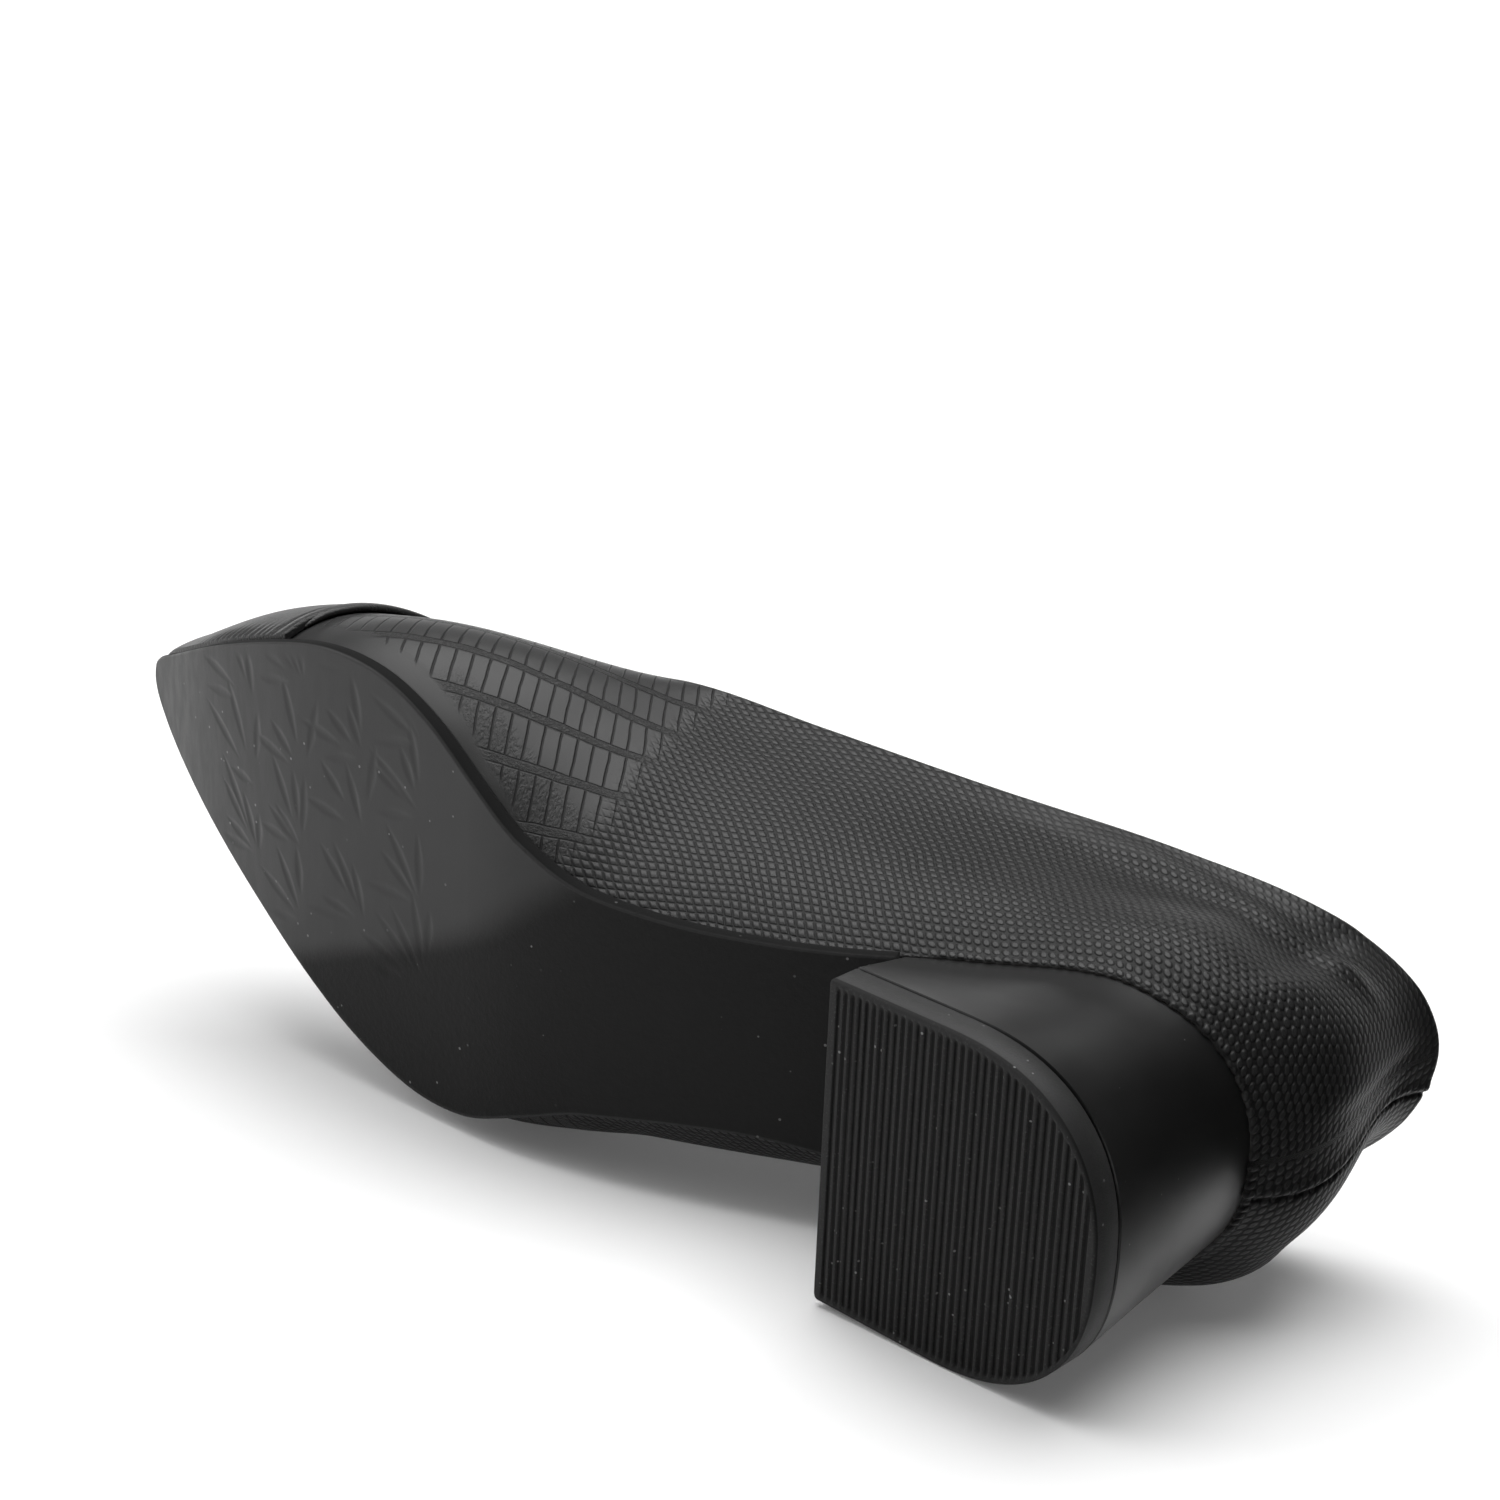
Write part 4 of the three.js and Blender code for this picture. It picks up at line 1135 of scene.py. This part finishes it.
# %% [markdown]
# The top piece is the rubber pad that touches the ground. It has a plain rim and, inside it, fine ribs
# across the shoe. The ribs are real grooves: the underside is a dense grid whose rows run parallel to the
# breast, so one wave along the shoe cuts all of them and they stay straight. They fade before the rim by
# the distance to the outline. Wear rounds the outline's corners and leaves pale specks on the rib tops.

# %% Make the top piece
RIB_PITCH = 1.47
RIB_DEPTH = 0.5
RIM_WIDTH = 1.3
TREAD_ROWS = 300
TREAD_COLUMNS = 110


def lift_half_width(x):
    back = np.clip((BREAST_X - (LIFT_DEPTH - LIFT_ROUND_DEPTH) - x) / LIFT_ROUND_DEPTH, 0, 1)
    return LIFT_WIDTH / 2 * (1 - back**LIFT_ROUND_POWER) ** (1 / LIFT_ROUND_POWER)


def tread_underside(edge):
    """The ribbed underside inside an edge ring whose two halves face each other across the shoe."""
    grid = cover(edge, TREAD_COLUMNS)
    x, y = grid[..., 0], grid[..., 1]
    side_room = lift_half_width(x) - np.abs(y)
    back_room = x + LIFT_OVERHANG
    front_room = BREAST_X - x
    round_room = side_room * 0.75 + 0.25 * np.minimum(side_room, back_room)
    room = np.minimum(np.minimum(round_room, front_room), back_room)
    wave = 0.5 + 0.5 * np.cos(2 * math.pi * (BREAST_X - RIM_WIDTH - x) / RIB_PITCH)
    groove = smooth_step(0.25, 0.8, 1 - wave)
    grid[..., 2] += RIB_DEPTH * groove * smooth_step(RIM_WIDTH - 0.3, RIM_WIDTH + 0.3, room)
    return grid


def tread_edge(height, inset):
    """Outline with evenly spaced rows along the shoe, mirrored on both sides."""
    x = BREAST_X - inset - (LIFT_DEPTH - 2 * inset) * np.linspace(0, 1, TREAD_ROWS)
    stretch = (x + LIFT_OVERHANG - inset) / (LIFT_DEPTH - 2 * inset) * LIFT_DEPTH - LIFT_OVERHANG
    half = lift_half_width(stretch) * (1 - inset / (LIFT_WIDTH / 2))
    to_corner = 1 - np.clip((BREAST_X - inset - x) / CORNER_RADIUS, 0, 1)
    half = half - CORNER_RADIUS * (1 - np.sqrt(1 - to_corner**2))
    left = np.stack([x, half, np.full_like(x, height)], -1)
    right = np.stack([x, -half, np.full_like(x, height)], -1)
    return np.concatenate([left, right[::-1]])


def ribbed_rubber():
    recipe = Recipe("tread_rubber", specular=0.3)
    place = recipe.read("standing", "Vector")
    height = recipe.split(place)[2]
    rough = recipe.noise(place, 3.5, 4.0, 0.7)
    groove = recipe.rise(height, 0.1, 0.45)
    under = recipe.rise(height, 0.9, 0.6)
    dust = recipe.rise(recipe.noise(place, 2.4, 3.0, 0.7), 0.56, 0.72)
    dust = recipe.math("MULTIPLY", dust, recipe.math("SUBTRACT", 1.0, groove))
    dust = recipe.math("MULTIPLY", dust, under)
    side = recipe.tint(rough, grey(0.015), grey(0.022))
    # Painted shade: the rib grooves are painted darker than the rib tops.
    tread = recipe.tint(groove, grey(0.013), grey(0.003))
    base = recipe.tint(under, side, tread)
    worn = recipe.dust(place, 0.45, (0.12, 0.08), 0.12, (0.45, 0.62))
    color = recipe.tint(recipe.math("MULTIPLY", dust, 0.5), base, grey(0.07))
    color = recipe.tint(worn, color, grey(0.16))
    roughness = recipe.blend(under, 0.48, 0.72)
    return recipe.finish(color, roughness, recipe.bump(rough, 0.09))


def tread_piece():
    rings = [tread_edge(0.0, 0.35), tread_edge(0.35, 0.0), tread_edge(LIFT_THICKNESS - 0.25, 0.0),
             tread_edge(LIFT_THICKNESS, 0.25)]
    wall = np.stack(rings, 1)
    under = tread_underside(rings[0])
    grids = [(wall, True, False), (under, False, False), (cover(rings[-1], 6), False, True)]
    points = np.concatenate([grid.reshape(-1, 3) for grid, _, _ in grids])
    values = {"standing": points}
    make_piece("tread_piece", grids, tread_black, "top_piece", values, sharp_deg=50)


tread_black = ribbed_rubber()
tread_piece()
print("ribs under the heel:", int((LIFT_DEPTH - 2 * RIM_WIDTH) / RIB_PITCH))

# %% [markdown]
# The studio follows the photograph: white paper without a horizon, one wide soft light above, a weaker
# one on the left, and a black card at the right, which gives the heel's back its black band. The card
# only shows in the gloss, so it takes no light from the paper. The paper behind the shoe glows, the more
# the further it lies, so its far part is as white as the near one and only the shoe's own soft shadow
# shows. A curved backdrop would need more light, which the black leather would mirror. The camera stands
# where the photographer's stood; its place is kept in the standing shoe's millimetres.

# %% Set up floor, light and camera
CAMERA_PLACE = (-202.4, 215.1, -293.2)
CAMERA_AHEAD = (0.6336, -0.3593, 0.6852)
CAMERA_DOWN = (-0.2737, -0.9325, -0.2359)
CAMERA_LENS = 66.13
WORLD_STRENGTH = 0.12
TOP_LIGHT_WATTS = 26
LEFT_LIGHT_WATTS = 9
GLOW_DISTANCES = (0.4, 1.2)
SHOE_MIDDLE = (0, 0, 0.05)


def stage_camera():
    data = bpy.data.cameras.new("camera")
    data.lens = CAMERA_LENS
    data.sensor_width = 36
    camera = bpy.data.objects.new("camera", data)
    bpy.context.scene.collection.objects.link(camera)
    ahead = unit(LYING_AXES @ np.array(CAMERA_AHEAD))
    down = LYING_AXES @ np.array(CAMERA_DOWN)
    right = unit(np.cross(down, ahead))
    top = unit(np.cross(right, ahead))
    place = lay_down(np.array(CAMERA_PLACE))
    turned = Matrix(np.column_stack([right, top, -ahead]).tolist())
    camera.matrix_world = Matrix.Translation(place) @ turned.to_4x4()
    bpy.context.scene.camera = camera
    print("camera at", place.round(3))
    return camera, right, ahead


camera, camera_right, camera_ahead = stage_camera()


def area_light(name, place, target, size, power):
    data = bpy.data.lights.new(name, "AREA")
    data.shape = "RECTANGLE"
    data.size, data.size_y = size
    data.energy = power
    light = bpy.data.objects.new(name, data)
    bpy.context.scene.collection.objects.link(light)
    light.location = place
    light.rotation_euler = (Vector(target) - Vector(place)).to_track_quat("-Z", "Y").to_euler()


def stage_sheet(name, corners, level, glow_near, glow_far):
    """A paper that glows more the further it lies from the shoe."""
    mesh = bpy.data.meshes.new(name)
    mesh.from_pydata(corners, [], [tuple(range(len(corners)))])
    sheet = bpy.data.objects.new(name, mesh)
    bpy.context.scene.collection.objects.link(sheet)
    paper = Recipe(name + "_paper", roughness=0.9, specular=0.1)
    place = paper.object_place()
    x, y, _ = paper.split(place)
    distance = paper.math("SQRT", paper.math("MULTIPLY_ADD", x, x, paper.math("MULTIPLY", y, y)))
    paper.give(paper.shader.inputs["Emission Color"], (1, 1, 1, 1))
    glow = paper.rise(distance, *GLOW_DISTANCES, glow_near, glow_far)
    paper.give(paper.shader.inputs["Emission Strength"], glow)
    color = paper.tint(paper.noise(place, 90.0, 3.0), grey(level * 0.98), grey(level))
    mesh.materials.append(paper.finish(color))
    return sheet


view_along = unit(camera_ahead[:2])
view_aside = np.array([-view_along[1], view_along[0]])
back_left = [*(6 * view_along + 8 * view_aside), 0]
back_right = [*(6 * view_along - 8 * view_aside), 0]
up_wall = np.array([0, 0, 1.6])
back_corners = [back_left, back_right, list(up_wall + back_right), list(up_wall + back_left)]
card_corners = [(0.22, -0.05, 0), (0.22, 0.7, 0), (0.22, 0.7, 0.35), (0.22, -0.05, 0.35)]
foot_corners = [(0.14, -0.15, 0.001), (0.3, -0.15, 0.001), (0.3, 0.5, 0.001), (0.14, 0.5, 0.001)]
stage_sheet("floor", [(-8, -8, 0), (8, -8, 0), (8, 8, 0), (-8, 8, 0)], 0.92, 0.08, 0.9)
stage_sheet("back_sheet", back_corners, 0.8, 0, 1.1)
for name, corners in (("black_card", card_corners), ("black_card_foot", foot_corners)):
    card = stage_sheet(name, corners, 0.01, 0, 0)
    card.visible_camera = False
    card.visible_diffuse = False
    card.visible_shadow = False
area_light("top_light", (-0.15, 0.15, 1.3), SHOE_MIDDLE, (1.5, 1.5), TOP_LIGHT_WATTS)
area_light("left_light", (-1.1, -0.9, 0.9), SHOE_MIDDLE, (1.0, 1.2), LEFT_LIGHT_WATTS)
world = bpy.data.worlds.new("studio")
world.use_nodes = True
world.node_tree.nodes["Background"].inputs["Color"].default_value = (1, 1, 1, 1)
world.node_tree.nodes["Background"].inputs["Strength"].default_value = WORLD_STRENGTH
bpy.context.scene.world = world
bpy.context.scene.view_settings.view_transform = "Standard"
print("camera looks", camera_ahead.round(3), "with its right at", camera_right.round(3))
